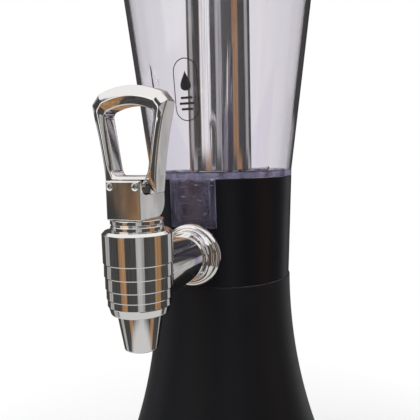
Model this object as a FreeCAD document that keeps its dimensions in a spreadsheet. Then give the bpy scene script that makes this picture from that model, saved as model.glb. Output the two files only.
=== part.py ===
import FreeCAD, Part
import math
import os
import Sketcher

# Table-top drink tower: a flared base and collar carry a clear tapered tank with an ice tube,
# and a chromed tap with a tilting loop handle. Millimetres, +Z up, origin on the table under
# the tank's axis, tap towards -Y.

os.makedirs("parts", exist_ok=True)
doc = FreeCAD.newDocument("DrinkTower")

# Driving dimensions. Heights of the collar, the tank and the tap count from the seam between
# the skirt and the collar, because those pieces are set out from there.
dimensions = {
    # base
    "seamHeight": 180.0,          # table to the seam
    "padThickness": 3.0,          # the non-slip pad lifts the base this far
    "padRadius": 84.0,
    "padEdge": 1.0,
    "baseRadius": 92.0,
    "baseLip": 4.0,               # straight edge at the bottom of the flare
    "waistRadius": 45.8,          # top of the skirt
    "skirtWall": 3.0,
    "deckThickness": 3.0,
    "deckOpening": 20.0,
    "plateThickness": 3.0,
    "plateClearance": 0.3,
    "plateScrewPitch": 70.0,
    "plateScrewCount": 4,
    "plateScrewRadius": 2.0,
    "plateScrewHead": 4.0,
    "plateScrewLength": 14.0,
    "plateBossWall": 2.6,
    "plateBossCover": 1.2,        # skirt wall left outside the boss at its top
    "screwClearance": 0.2,
    # collar
    "collarFootRadius": 45.1,
    "collarRimRadius": 47.3,
    "collarHeight": 65.85,
    "collarWall": 2.5,
    "collarFloor": 5.0,
    "collarEdge": 0.6,
    "spigotDepth": 6.0,
    "spigotWall": 2.5,
    "spigotClearance": 0.2,
    "collarScrewPitch": 32.0,
    "collarScrewRadius": 1.8,
    "collarScrewHead": 3.4,
    "collarScrewHeadHeight": 2.2,
    "collarScrewBite": 4.0,
    "collarScrewCount": 4,
    # tank
    "cupClearance": 0.4,
    "tankWall": 3.0,
    "tankFloor": 3.0,
    "shoulderThickness": 3.75,
    "tankTop": 325.0,
    "tankRimRadius": 77.5,
    "rimBead": 1.6,
    "rimBeadHeight": 4.0,
    "cupCorner": 2.0,
    "cupEdge": 1.5,
    "keyWidth": 30.0,
    "keyBottom": 36.7,
    "keySideWall": 3.5,
    "keySill": 5.0,
    "keyFront": 3.4,
    "keyClearance": 0.25,
    "ribThickness": 2.0,
    "ribCount": 3,
    "ribTop": 149.0,
    "ribShoulder": 76.0,
    "tubeSeat": 70.0,
    "tubeSeatReach": 4.0,
    # ice tube
    "tubeRadius": 20.8,
    "tubeWall": 1.0,
    "tubeGuideClearance": 0.4,
    "tubeAboveRim": 13.0,
    "tubeFootThickness": 2.5,
    "tubeFootSpigot": 6.0,
    "tubeFootWall": 1.5,
    "tubeFootClearance": 0.05,
    "capRadius": 25.5,
    "capThickness": 3.0,
    "capPlugDepth": 12.0,
    "capPlugWall": 2.0,
    "capPlugClearance": 0.4,
    "capKnobRadius": 11.0,
    "capKnobHeight": 12.0,
    "capKnobWaist": 8.5,
    "capEdge": 1.2,
    "capRingRadius": 1.3,
    "capRingDrop": 6.0,
    # lid
    "lidThickness": 3.0,
    "lidOverhang": 2.2,
    "lidDrop": 7.0,
    "lidRise": 6.0,
    "lidPlugDepth": 10.0,
    "lidPlugWall": 2.5,
    "lidRimGap": 0.5,
    "lidCollarWall": 2.5,
    "lidTubeClearance": 0.5,
    "lidRingRadius": 1.4,
    "lidRingDrop": 5.0,
    # tap
    "tapReach": 107.25,           # tank axis to tap axis
    "shankHeight": 20.46,
    "barrelTop": 44.4,
    "barrelTopRadius": 17.5,
    "barrelChamfer": 1.4,
    "tierHeight1": 28.9,
    "tierHeight2": 22.4,
    "tierHeight3": 16.2,
    "tierHeight4": 11.2,
    "tierHeight5": 7.4,
    "tierRadius1": 17.4,
    "tierRadius2": 17.1,
    "tierRadius3": 16.7,
    "tierRadius4": 16.3,
    "tierRadius5": 15.9,
    "tierStep": 0.45,             # how far each ring stands out over the next
    "tierNick": 0.5,
    "barrelBottom": 3.0,
    "barrelBottomRadius": 14.4,
    "branchRadius": 15.2,
    "branchEndRadius": 13.3,
    "branchEnd": 51.5,            # the branch's shoulder, from the tank axis
    "threadRadius": 8.0,
    "threadEnd": 28.0,
    "inletRadius": 5.5,
    "chamberRadius": 10.5,
    "chamberFloor": 10.0,
    "seatRadius": 5.5,
    "seatLip": 1.5,
    "seatRise": 1.0,
    "spoutSocketRadius": 8.0,
    "spoutSocketDepth": 4.5,
    "spoutTopRadius": 11.6,
    "spoutTipRadius": 8.4,
    "spoutTip": -15.9,
    "spoutWall": 2.0,
    "spoutEdge": 0.9,
    # wall flange
    "flangeRadius": 18.83,
    "flangeFront": 48.5,
    "flangeRound": 2.2,
    "flangeStepRadius": 16.4,
    "flangeStep": 0.8,
    "flangeNose": 56.5,
    "flangeNoseRadius": 14.5,
    "flangeClearance": 0.1,
    "threadClearance": 0.3,
    "flangeBack": 46.9,
    "gasketRadius": 17.4,
    "washerRadius": 10.7,
    "washerFace": 36.0,
    "nutThickness": 6.5,
    "nutAcrossFlats": 22.5,
    # bonnet and valve
    "bonnetRadius": 13.2,
    "bonnetTop": 49.9,
    "bonnetGroove": 0.7,
    "bonnetSpigot": 8.0,
    "bonnetSpigotClearance": 0.1,
    "stemRadius": 2.5,
    "stemClearance": 0.08,
    "ringRecessDepth": 2.4,
    "ringRecessRadius": 4.6,
    "stemRingRadius": 0.9,
    "springWasherThickness": 1.0,
    "springWasherRadius": 6.5,
    "springRadius": 4.4,
    "springWire": 0.45,
    "springTurns": 5,
    "springGap": 0.1,
    "stemCollarRadius": 6.0,
    "stemCollarHeight": 1.5,
    "stemCollarLevel": 21.0,
    "seatCupRadius": 8.6,
    "seatCupThickness": 3.0,
    "seatCupBoss": 5.0,
    "seatCupBossHeight": 4.0,
    "seatCupBite": 1.2,
    "seatCupGap": 0.2,
    # lever head and handle
    "headGap": 0.2,               # head above the bonnet
    "headWidth": 18.7,
    "headDepth": 24.0,
    "headHeight": 18.9,
    "headHeel": 8.0,
    "headEdge": 0.7,
    "headCavityWidth": 12.7,
    "headCavityDepth": 18.0,
    "headCavityHeight": 8.7,
    "pinRadius": 1.5,
    "pinLevel": 4.5,              # pin above the head's foot
    "pinSlotTravel": 2.6,
    "pinSlotClearance": 0.3,
    "pinSlotDepth": 1.8,
    "pinEndGap": 0.3,
    "pinFit": 0.02,
    "stemAbovePin": 2.9,
    "notchDepth": 6.8,
    "notchFront": 9.3,            # notch from here to notchBack, across the tap axis
    "notchBack": 6.5,
    "notchCorner": 3.5,
    "handleDepth": 12.0,
    "handleFootWidth": 27.2,
    "handleFootTop": 71.0,
    "handleHipWidth": 28.4,
    "handleMidWidth": 34.8,
    "handleMidHeight": 92.0,
    "handleTopWidth": 41.8,
    "handleShoulder": 105.5,
    "handleCornerWidth": 34.0,
    "handleCornerHeight": 110.3,
    "handleTop": 113.7,
    "loopFootWidth": 19.0,
    "loopTopWidth": 28.0,
    "loopShoulder": 101.0,
    "loopTop": 104.3,
    "loopCorner": 2.5,
    "handleBevel": 1.8,
    "screwHeadRadius": 1.6,
    "screwHeadDepth": 1.0,
    "screwHeadGap": 0.1,
    "screwRadius": 1.0,
    "screwSpread": 7.0,
    "screwLevel": 16.1,
    "screwBite": 4.0,
}

sheet = doc.addObject("Spreadsheet::Sheet", "Dims")
for row, (alias, value) in enumerate(dimensions.items(), start=1):
    sheet.set("A%d" % row, alias)
    sheet.set("B%d" % row, str(value))
    sheet.setAlias("B%d" % row, alias)
doc.recompute()


def full(text):
    """Write each sheet name in an expression in its full form, Dims.name."""
    words = ""
    word = ""
    for letter in text + " ":
        if letter.isalnum() or letter in "_.":
            word += letter
        else:
            words += ("Dims." + word if word in dimensions else word) + letter
            word = ""
    return words.strip()


def size(text):
    """Value of an expression in the sheet's names."""
    return float(sheet.evalExpression(text))


def bind(thing, **bindings):
    """Tie properties to expressions; two underscores in a name stand for a dot."""
    for name, text in bindings.items():
        thing.setExpression(name.replace("__", "."), full(text))


def newBody(node):
    body = doc.addObject("PartDesign::Body", node)
    body.Label = node
    return body


def datum(body, role):
    return [f for f in body.Origin.OriginFeatures if f.Role == role][0]


def newSketch(body, name, plane, lift=None):
    sketch = body.newObject("Sketcher::SketchObject", name)
    sketch.AttachmentSupport = [(datum(body, plane), "")]
    sketch.MapMode = "FlatFace"
    if lift:
        bind(sketch, AttachmentOffset__Base__z=lift)
    return sketch


def tie(sketch, kind, geometry, point, text):
    """Fix one coordinate of a sketch point to an expression."""
    index = sketch.addConstraint(Sketcher.Constraint(kind, -1, 1, geometry, point, size(text)))
    sketch.setExpression("Constraints[%d]" % index, full(text))


class Arc:
    """Rounded stretch of an outline whose centre lies on the named coordinate."""

    def __init__(self, x=None, y=None):
        self.x, self.y = x, y

    def centre(self, start, end):
        half = (start + end) / 2
        across = end - start
        if self.x is not None:
            x = size(self.x)
            return FreeCAD.Vector(x, half.y - (x - half.x) * across.x / across.y, 0)
        y = size(self.y)
        return FreeCAD.Vector(half.x - (y - half.y) * across.y / across.x, y, 0)


def outline(sketch, *steps):
    """Closed outline of (x, y) corners, joined by lines, or by an Arc put between two corners."""
    corners = [s for s in steps if not isinstance(s, Arc)]
    bends = {}
    for place, step in enumerate(steps):
        if isinstance(step, Arc):
            bends[len([s for s in steps[:place] if not isinstance(s, Arc)]) - 1] = step
    points = [FreeCAD.Vector(size(x), size(y), 0) for x, y in corners]
    ends = []
    for i, start in enumerate(points):
        end = points[(i + 1) % len(points)]
        if i in bends:
            centre = bends[i].centre(start, end)
            first, last = start - centre, end - centre
            forward = first.cross(last).z > 0
            low, high = (first, last) if forward else (last, first)
            angles = [math.atan2(v.y, v.x) for v in (low, high)]
            if angles[1] < angles[0]:
                angles[1] += 2 * math.pi
            circle = Part.Circle(centre, FreeCAD.Vector(0, 0, 1), first.Length)
            g = sketch.addGeometry(Part.ArcOfCircle(circle, *angles), False)
            ends.append((g, 1, 2) if forward else (g, 2, 1))
        else:
            g = sketch.addGeometry(Part.LineSegment(start, end), False)
            ends.append((g, 1, 2))
    for i, (g, first, last) in enumerate(ends):
        before, _, tail = ends[i - 1]
        sketch.addConstraint(Sketcher.Constraint("Coincident", before, tail, g, first))
        tie(sketch, "DistanceX", g, first, corners[i][0])
        tie(sketch, "DistanceY", g, first, corners[i][1])
        if i in bends:
            bend = bends[i]
            tie(sketch, "DistanceX" if bend.x else "DistanceY", g, 3, bend.x or bend.y)


def circle(sketch, x, y, radius):
    centre = FreeCAD.Vector(size(x), size(y), 0)
    g = sketch.addGeometry(Part.Circle(centre, FreeCAD.Vector(0, 0, 1), size(radius)), False)
    tie(sketch, "DistanceX", g, 3, x)
    tie(sketch, "DistanceY", g, 3, y)
    index = sketch.addConstraint(Sketcher.Constraint("Radius", g, size(radius)))
    sketch.setExpression("Constraints[%d]" % index, full(radius))


def box(sketch, left, right, low, high):
    outline(sketch, (left, low), (right, low), (right, high), (left, high))


def hexagon(sketch, x, y, radius):
    """Six-sided outline about a centre, with this radius to its corners."""
    outline(sketch, *[("%s + %s * cos(%d * 60)" % (x, radius, side),
                       "%s + %s * sin(%d * 60)" % (y, radius, side)) for side in range(6)])


def feature(body, kind, name, sketch, **bindings):
    """Add a sketch-based feature, and check that it adds or removes material as it should."""
    before = body.Shape.Volume if body.Tip else 0.0
    item = body.newObject("PartDesign::" + kind, name)
    item.Profile = (sketch, [""])
    fixed = {k: v for k, v in bindings.items() if not isinstance(v, str)}
    for key, value in fixed.items():
        setattr(item, key, value)
    bind(item, **{k: v for k, v in bindings.items() if k not in fixed})
    doc.recompute()
    grown = body.Shape.Volume - before
    cuts = kind in ("Pocket", "Groove")
    if (grown >= 0) if cuts else (grown <= 0):
        raise ValueError("%s changes nothing" % name)
    return item


def turned(body, kind, name, sketch, axis="V_Axis"):
    return feature(body, kind, name, sketch, ReferenceAxis=(sketch, [axis]), Angle=360.0)


def polar(body, name, feature_list, count):
    item = body.newObject("PartDesign::PolarPattern", name)
    item.Originals = feature_list
    item.Axis = (datum(body, "Z_Axis"), [""])
    item.Angle = 360.0
    bind(item, Occurrences=count)
    body.Tip = item
    doc.recompute()
    return item


def rounded(body, kind, name, amount, chosen):
    """Fillet or chamfer every edge of the tip that the test picks out."""
    tip = body.Tip
    names = ["Edge%d" % (i + 1) for i, e in enumerate(tip.Shape.Edges) if chosen(e)]
    if not names:
        raise ValueError("%s finds no edge" % name)
    item = body.newObject("PartDesign::" + kind, name)
    item.Base = (tip, names)
    bind(item, **{"Radius" if kind == "Fillet" else "Size": amount})
    doc.recompute()
    return item


def near(a, b):
    return abs(a - b) < 1e-3


def ring(radius, level):
    """Test for a whole circle of this radius about the body's own Z axis, at this height."""
    wanted, height = size(radius), size(level)

    def test(edge):
        curve = edge.Curve
        return (isinstance(curve, Part.Circle) and near(curve.Radius, wanted)
                and near(curve.Center.z, height) and near(curve.Center.x, 0)
                and near(curve.Center.y, 0))
    return test


# base ------------------------------------------------------------------------------------

screwX = "plateScrewPitch * cos(360 / plateScrewCount / 2)"
screwY = "plateScrewPitch * sin(360 / plateScrewCount / 2)"
plateTop = "(padThickness + plateThickness)"

skirt = newBody("base_skirt")
section = newSketch(skirt, "SkirtSection", "XZ_Plane")
outline(section,
        ("baseRadius", "padThickness"), ("baseRadius", "padThickness + baseLip"), Arc(y="seamHeight"),
        ("waistRadius", "seamHeight"), ("deckOpening", "seamHeight"),
        ("deckOpening", "seamHeight - deckThickness"),
        ("waistRadius - skirtWall", "seamHeight - deckThickness"),
        Arc(y="seamHeight - deckThickness"),
        ("baseRadius - skirtWall", "padThickness + baseLip"), ("baseRadius - skirtWall", "padThickness"))
turned(skirt, "Revolution", "SkirtShell", section)

# the bosses rise from the plate to where the flare's outside still covers them
bossReach = "(plateScrewPitch + plateScrewRadius + plateBossWall + plateBossCover)"
flareRise = "(seamHeight - padThickness - baseLip)"
flareSpread = "(baseRadius - waistRadius)"
flareRadius = "((%s^2 + %s^2) / (2 * %s))" % (flareRise, flareSpread, flareSpread)
flareDrop = "sqrt(%s^2 - (%s - (%s - waistRadius))^2)" % (flareRadius, flareRadius, bossReach)
bossTop = "(seamHeight - %s)" % flareDrop
section = newSketch(skirt, "BossCircle", "XY_Plane", plateTop)
circle(section, screwX, screwY, "plateScrewRadius + plateBossWall")
boss = feature(skirt, "Pad", "Boss", section, Length=bossTop + " - " + plateTop)
polar(skirt, "Bosses", [boss], "plateScrewCount")
section = newSketch(skirt, "BossBore", "XY_Plane", plateTop)
circle(section, screwX, screwY, "plateScrewRadius")
bore = feature(skirt, "Pocket", "BossHole", section, Reversed=True, Length="plateScrewLength")
polar(skirt, "BossHoles", [bore], "plateScrewCount")
section = newSketch(skirt, "DeckHoleCircle", "XY_Plane", "seamHeight")
circle(section, "collarScrewPitch", "0", "collarScrewRadius + screwClearance")
bore = feature(skirt, "Pocket", "DeckHole", section, Length="deckThickness * 2")
polar(skirt, "DeckHoles", [bore], "collarScrewCount")

plate = newBody("bottom_plate")
section = newSketch(plate, "PlateCircle", "XY_Plane", "padThickness")
circle(section, "0", "0", "baseRadius - skirtWall - plateClearance")
feature(plate, "Pad", "PlateDisc", section, Length="plateThickness")
section = newSketch(plate, "ScrewHole", "XY_Plane", "padThickness")
circle(section, screwX, screwY, "plateScrewRadius + screwClearance")
bore = feature(plate, "Pocket", "Hole", section, Reversed=True, Length="plateThickness * 2")
polar(plate, "Holes", [bore], "plateScrewCount")
sinkDepth = "(plateScrewHead - plateScrewRadius)"
section = newSketch(plate, "SinkCircle", "XY_Plane", "padThickness")
circle(section, screwX, screwY, "plateScrewHead + screwClearance")
sink = feature(plate, "Pocket", "Sink", section, Reversed=True, Length=sinkDepth,
               TaperAngle=-45.0)
polar(plate, "Sinks", [sink], "plateScrewCount")

pad = newBody("base_pad")
section = newSketch(pad, "PadCircle", "XY_Plane")
circle(section, "0", "0", "padRadius")
feature(pad, "Pad", "PadDisc", section, Length="padThickness")
rounded(pad, "Chamfer", "PadEdge", "padEdge", ring("padRadius", "0"))
section = newSketch(pad, "ScrewHole", "XY_Plane")
circle(section, screwX, screwY, "plateScrewHead + screwClearance")
bore = feature(pad, "Pocket", "Hole", section, Reversed=True, Length="padThickness * 2")
polar(pad, "Holes", [bore], "plateScrewCount")


def around(node, count, pitch, level, shift, makeOne):
    """Equal separate pieces on a circle, kept as one node."""
    copies = []
    for number in range(int(size(count))):
        piece = makeOne("%s_%d" % (node, number + 1))
        angle = "((%d + %s) * 360 / %s)" % (number, shift, count)
        bind(piece, Placement__Base__x="%s * cos(%s)" % (pitch, angle),
             Placement__Base__y="%s * sin(%s)" % (pitch, angle), Placement__Base__z=level)
        copies.append(piece)
    group = doc.addObject("Part::Compound", node)
    group.Links = copies
    group.Label = node
    return group


def primitive(kind, name, **bindings):
    item = doc.addObject("Part::" + kind, name)
    bind(item, **bindings)
    return item


def fused(name, *parts):
    item = doc.addObject("Part::MultiFuse", name)
    item.Shapes = list(parts)
    return item


def makePlateScrew(name):
    head = primitive("Cone", name + "_head", Radius1="plateScrewHead",
                     Radius2="plateScrewRadius", Height=sinkDepth)
    shank = primitive("Cylinder", name + "_shank", Radius="plateScrewRadius",
                      Height="plateThickness + plateScrewLength - screwClearance")
    return fused(name, head, shank)


def makeCollarScrew(name):
    head = primitive("Cylinder", name + "_head", Radius="collarScrewHead",
                     Height="collarScrewHeadHeight")
    shank = primitive("Cylinder", name + "_shank", Radius="collarScrewRadius",
                      Height="collarScrewHeadHeight + deckThickness + collarScrewBite")
    return fused(name, head, shank)


around("plate_screws", "plateScrewCount", "plateScrewPitch", "padThickness", "0.5", makePlateScrew)
around("collar_screws", "collarScrewCount", "collarScrewPitch",
       "seamHeight - deckThickness - collarScrewHeadHeight", "0", makeCollarScrew)

# collar ----------------------------------------------------------------------------------

spigotRadius = "(deckOpening - spigotClearance)"
collarTop = "(seamHeight + collarHeight)"
collar = newBody("base_collar")
section = newSketch(collar, "CollarSection", "XZ_Plane")
outline(section,
        ("collarFootRadius", "seamHeight"), ("collarRimRadius", collarTop),
        ("collarRimRadius - collarWall", collarTop),
        ("collarFootRadius - collarWall", "seamHeight + collarFloor"),
        (spigotRadius + " - spigotWall", "seamHeight + collarFloor"),
        (spigotRadius + " - spigotWall", "seamHeight - spigotDepth"),
        (spigotRadius, "seamHeight - spigotDepth"), (spigotRadius, "seamHeight"))
turned(collar, "Revolution", "CollarShell", section)
section = newSketch(collar, "NotchOutline", "XZ_Plane")
keyHalf = "(keyWidth / 2 + keyClearance)"
box(section, "-" + keyHalf, keyHalf, "seamHeight + keyBottom - keyClearance",
    collarTop + " + keySill")
feature(collar, "Pocket", "KeyNotch", section, Reversed=True, Length="collarRimRadius * 2")
section = newSketch(collar, "ShankCircle", "XZ_Plane")
circle(section, "0", "seamHeight + shankHeight", "threadRadius + threadClearance")
feature(collar, "Pocket", "ShankHole", section, Reversed=True, Length="collarRimRadius * 2")
section = newSketch(collar, "PilotCircle", "XY_Plane", "seamHeight")
circle(section, "collarScrewPitch", "0", "collarScrewRadius")
bore = feature(collar, "Pocket", "PilotHole", section, Reversed=True, Length="collarScrewBite")
polar(collar, "PilotHoles", [bore], "collarScrewCount")
rounded(collar, "Chamfer", "SeamEdge", "collarEdge", ring("collarFootRadius", "seamHeight"))

# tank ------------------------------------------------------------------------------------

cupBase = "(seamHeight + collarFloor)"
cupFoot = "(collarFootRadius - collarWall - cupClearance)"
cupTop = "(collarRimRadius - collarWall - cupClearance)"
shoulderTop = "(seamHeight + collarHeight + shoulderThickness)"
rimLevel = "(seamHeight + tankTop)"
tank = newBody("tank")
section = newSketch(tank, "TankSection", "XZ_Plane")
outline(section,
        ("0", cupBase), (cupFoot, cupBase), (cupTop, collarTop), ("collarRimRadius", collarTop),
        ("collarRimRadius", shoulderTop), ("tankRimRadius", rimLevel + " - rimBeadHeight"),
        ("tankRimRadius + rimBead", rimLevel + " - rimBeadHeight"),
        ("tankRimRadius + rimBead", rimLevel), ("tankRimRadius - tankWall", rimLevel),
        ("tankRimRadius - tankWall", rimLevel + " - rimBeadHeight"),
        ("collarRimRadius - tankWall", shoulderTop), (cupTop + " - tankWall", collarTop),
        (cupFoot + " - tankWall", cupBase + " + tankFloor"), ("0", cupBase + " + tankFloor"))
turned(tank, "Revolution", "TankShell", section)
rounded(tank, "Fillet", "CupCorner", "cupCorner",
        ring(cupFoot + " - tankWall", cupBase + " + tankFloor"))
rounded(tank, "Fillet", "CupEdge", "cupEdge", ring(cupFoot, cupBase))

# the key fills the collar's notch and is hollow behind its window
keyRoot = "sqrt((%s - tankWall / 2)^2 - (keyWidth / 2)^2)" % cupFoot
slope = "((collarRimRadius - collarFootRadius) / collarHeight)"
keySole = "(seamHeight + keyBottom)"
section = newSketch(tank, "KeyOutline", "XZ_Plane", keyRoot)
box(section, "-keyWidth / 2", "keyWidth / 2", keySole, collarTop + " + shoulderThickness / 2")
feature(tank, "Pad", "KeyBlock", section, Length="collarRimRadius + keySill - " + keyRoot)
section = newSketch(tank, "KeyTrim", "XZ_Plane")
outline(section,
        ("collarFootRadius + (keyBottom - keySill) * " + slope, keySole + " - keySill"),
        ("collarRimRadius * 2", keySole + " - keySill"), ("collarRimRadius * 2", shoulderTop),
        ("collarRimRadius", shoulderTop), ("collarRimRadius", collarTop))
turned(tank, "Groove", "KeyFace", section)
keyHollow = "(keyWidth / 2 - keySideWall)"
keyBack = "(%s - keySideWall)" % keyRoot
keyGlass = "(collarFootRadius + keyBottom * %s - keyFront)" % slope
section = newSketch(tank, "KeyCore", "XZ_Plane", keyBack)
box(section, "-" + keyHollow, keyHollow, keySole + " + keySill", collarTop)
feature(tank, "Pocket", "KeyHollow", section, Reversed=True, Length=keyGlass + " - " + keyBack)

# three ribs steady the ice tube and carry its foot
section = newSketch(tank, "RibOutline", "XZ_Plane")
ribPeak = ("(collarRimRadius + (tankRimRadius - collarRimRadius) * (ribTop - collarHeight)"
           " / (tankTop - collarHeight) - tankWall / 2)")
guide = "(tubeRadius + tubeGuideClearance)"
outline(section,
        ("-" + ribPeak, "seamHeight + ribTop"), ("-" + guide, "seamHeight + ribShoulder"),
        ("-" + guide, "seamHeight + tubeSeat"),
        ("-tubeRadius + tubeSeatReach", "seamHeight + tubeSeat"),
        ("-tubeRadius + tubeSeatReach", cupBase + " + tankFloor / 2"),
        ("-%s + cupCorner" % cupFoot, cupBase + " + tankFloor / 2"),
        ("-%s + tankWall / 2" % cupFoot, cupBase + " + tankFloor + cupCorner"),
        ("-%s + tankWall / 2" % cupTop, collarTop),
        ("-collarRimRadius + tankWall / 2", shoulderTop))
rib = feature(tank, "Pad", "Rib", section, Midplane=True, Length="ribThickness")
polar(tank, "Ribs", [rib], "ribCount")
section = newSketch(tank, "ShankCircle", "XZ_Plane")
circle(section, "0", "seamHeight + shankHeight", "threadRadius + threadClearance")
feature(tank, "Pocket", "ShankHole", section, Reversed=True, Length="collarRimRadius * 2")

# lid and ice tube ------------------------------------------------------------------------

tubeTop = "(%s + tubeAboveRim)" % rimLevel
tubeFoot = "(seamHeight + tubeSeat)"
lidHole = "(tubeRadius + lidTubeClearance)"
lidPlug = "(tankRimRadius - tankWall - lidRimGap)"
lidEdge = "(tankRimRadius + rimBead + lidOverhang)"
lidCrown = "(%s + lidThickness + lidRise)" % rimLevel
tankSlope = "((tankRimRadius - collarRimRadius) / (tankTop - collarHeight))"
lidPlugFoot = "(%s - lidPlugDepth * %s)" % (lidPlug, tankSlope)

lid = newBody("lid")
section = newSketch(lid, "LidSection", "XZ_Plane")
outline(section,
        (lidHole, rimLevel + " + lidRise"), (lidHole, tubeTop),
        (lidHole + " + lidCollarWall", tubeTop), (lidHole + " + lidCollarWall", lidCrown),
        Arc(x=lidHole), (lidEdge, rimLevel + " + lidThickness"),
        (lidEdge, rimLevel + " - lidDrop"),
        (lidEdge + " - lidThickness / 2", rimLevel + " - lidDrop"),
        (lidEdge + " - lidThickness / 2", rimLevel), (lidPlug, rimLevel),
        (lidPlugFoot, rimLevel + " - lidPlugDepth"),
        (lidPlugFoot + " - lidPlugWall", rimLevel + " - lidPlugDepth"),
        (lidPlug + " - lidPlugWall", rimLevel), Arc(x=lidHole),
        (lidHole + " + lidCollarWall", rimLevel + " + lidRise"))
turned(lid, "Revolution", "LidShell", section)
rounded(lid, "Fillet", "LidEdge", "capEdge", ring(lidEdge, rimLevel + " + lidThickness"))
section = newSketch(lid, "RingGroove", "XZ_Plane")
circle(section, lidPlug, rimLevel + " - lidRingDrop", "lidRingRadius")
turned(lid, "Groove", "SealGroove", section)

seal = newBody("lid_seal")
section = newSketch(seal, "SealSection", "XZ_Plane")
sealLevel = rimLevel + " - lidRingDrop"
box(section, lidPlug + " - lidRingRadius / 2", lidPlug + " + lidRimGap / 2",
    sealLevel + " - lidRingRadius / 2", sealLevel + " + lidRingRadius / 2")
turned(seal, "Revolution", "SealRing", section)

tube = newBody("ice_tube")
section = newSketch(tube, "TubeSection", "XZ_Plane")
box(section, "tubeRadius - tubeWall", "tubeRadius", tubeFoot, tubeTop)
turned(tube, "Revolution", "TubeWall", section)

tubeBore = "(tubeRadius - tubeWall - tubeFootClearance)"
footCup = newBody("ice_tube_foot")
section = newSketch(footCup, "FootSection", "XZ_Plane")
outline(section,
        ("0", tubeFoot), (tubeBore, tubeFoot), (tubeBore, tubeFoot + " + tubeFootSpigot"),
        (tubeBore + " - tubeFootWall", tubeFoot + " + tubeFootSpigot"),
        (tubeBore + " - tubeFootWall", tubeFoot + " + tubeFootThickness"),
        ("0", tubeFoot + " + tubeFootThickness"))
turned(footCup, "Revolution", "FootCup", section)

capBore = "(tubeRadius - tubeWall - capPlugClearance)"
capTop = "(%s + capThickness)" % tubeTop
cap = newBody("ice_tube_cap")
section = newSketch(cap, "CapSection", "XZ_Plane")
outline(section,
        ("0", tubeTop), (capBore + " - capPlugWall", tubeTop),
        (capBore + " - capPlugWall", tubeTop + " - capPlugDepth"),
        (capBore, tubeTop + " - capPlugDepth"), (capBore, tubeTop), ("capRadius", tubeTop),
        ("capRadius", capTop), ("capKnobRadius", capTop),
        ("capKnobWaist", capTop + " + capKnobHeight / 3"),
        ("capKnobRadius", capTop + " + capKnobHeight"), ("0", capTop + " + capKnobHeight"))
turned(cap, "Revolution", "CapShell", section)
rounded(cap, "Fillet", "CapEdge", "capEdge", ring("capRadius", capTop))
rounded(cap, "Fillet", "KnobEdge", "capEdge", ring("capKnobRadius", capTop + " + capKnobHeight"))
section = newSketch(cap, "RingGroove", "XZ_Plane")
circle(section, capBore, tubeTop + " - capRingDrop", "capRingRadius")
turned(cap, "Groove", "RingGrooveCut", section)

capRing = newBody("cap_ring")
section = newSketch(capRing, "RingSection", "XZ_Plane")
ringLevel = tubeTop + " - capRingDrop"
box(section, capBore + " - capRingRadius / 2", capBore + " + capPlugClearance / 4",
    ringLevel + " - capRingRadius / 2", ringLevel + " + capRingRadius / 2")
turned(capRing, "Revolution", "RingShell", section)

# tap -------------------------------------------------------------------------------------


def onTap(body):
    """Stand a piece on the tap's own axis, with heights from the seam."""
    bind(body, Placement__Base__y="-tapReach", Placement__Base__z="seamHeight")


def onShank(body):
    """Lay a piece on the shank's axis, with the tank's axis at its origin."""
    bind(body, Placement__Base__z="seamHeight + shankHeight")


tap = newBody("tap_body")
section = newSketch(tap, "BarrelSection", "XZ_Plane")
corners = [("0", "barrelBottom"), ("barrelBottomRadius", "barrelBottom")]
for level, radius in (("tierHeight5", "tierRadius5"), ("tierHeight4", "tierRadius4"),
                      ("tierHeight3", "tierRadius3"), ("tierHeight2", "tierRadius2"),
                      ("tierHeight1", "tierRadius1")):
    corners += [(radius + " - tierStep", level + " - tierNick"), (radius, level)]
corners += [("barrelTopRadius", "barrelTop - barrelChamfer"),
            ("barrelTopRadius - barrelChamfer", "barrelTop"), ("0", "barrelTop")]
outline(section, *corners)
turned(tap, "Revolution", "Barrel", section)
rounded(tap, "Fillet", "BarrelFoot", "spoutEdge", ring("barrelBottomRadius", "barrelBottom"))
section = newSketch(tap, "BranchSection", "YZ_Plane")
outline(section,
        ("0", "shankHeight"), ("0", "shankHeight + branchRadius"),
        ("tapReach - branchEnd", "shankHeight + branchEndRadius"),
        ("tapReach - branchEnd", "shankHeight + threadRadius"),
        ("tapReach - threadEnd", "shankHeight + threadRadius"),
        ("tapReach - threadEnd", "shankHeight"))
axisLine = section.addGeometry(
    Part.LineSegment(FreeCAD.Vector(0, size("shankHeight"), 0),
                     FreeCAD.Vector(size("tapReach"), size("shankHeight"), 0)), True)
tie(section, "DistanceX", axisLine, 1, "0")
tie(section, "DistanceY", axisLine, 1, "shankHeight")
tie(section, "DistanceX", axisLine, 2, "tapReach")
tie(section, "DistanceY", axisLine, 2, "shankHeight")
turned(tap, "Revolution", "Branch", section, "Axis0")
section = newSketch(tap, "ChamberSection", "XZ_Plane")
outline(section,
        ("0", "barrelBottom"), ("spoutSocketRadius", "barrelBottom"),
        ("spoutSocketRadius", "barrelBottom + spoutSocketDepth"),
        ("seatRadius", "barrelBottom + spoutSocketDepth"),
        ("seatRadius", "chamberFloor + seatRise"),
        ("seatRadius + seatLip", "chamberFloor + seatRise"),
        ("seatRadius + seatLip", "chamberFloor"), ("chamberRadius", "chamberFloor"),
        ("chamberRadius", "barrelTop"), ("0", "barrelTop"))
turned(tap, "Groove", "Chamber", section)
section = newSketch(tap, "InletCircle", "XZ_Plane")
circle(section, "0", "shankHeight", "inletRadius")
feature(tap, "Pocket", "Inlet", section, Length="tapReach")
onTap(tap)

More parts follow.
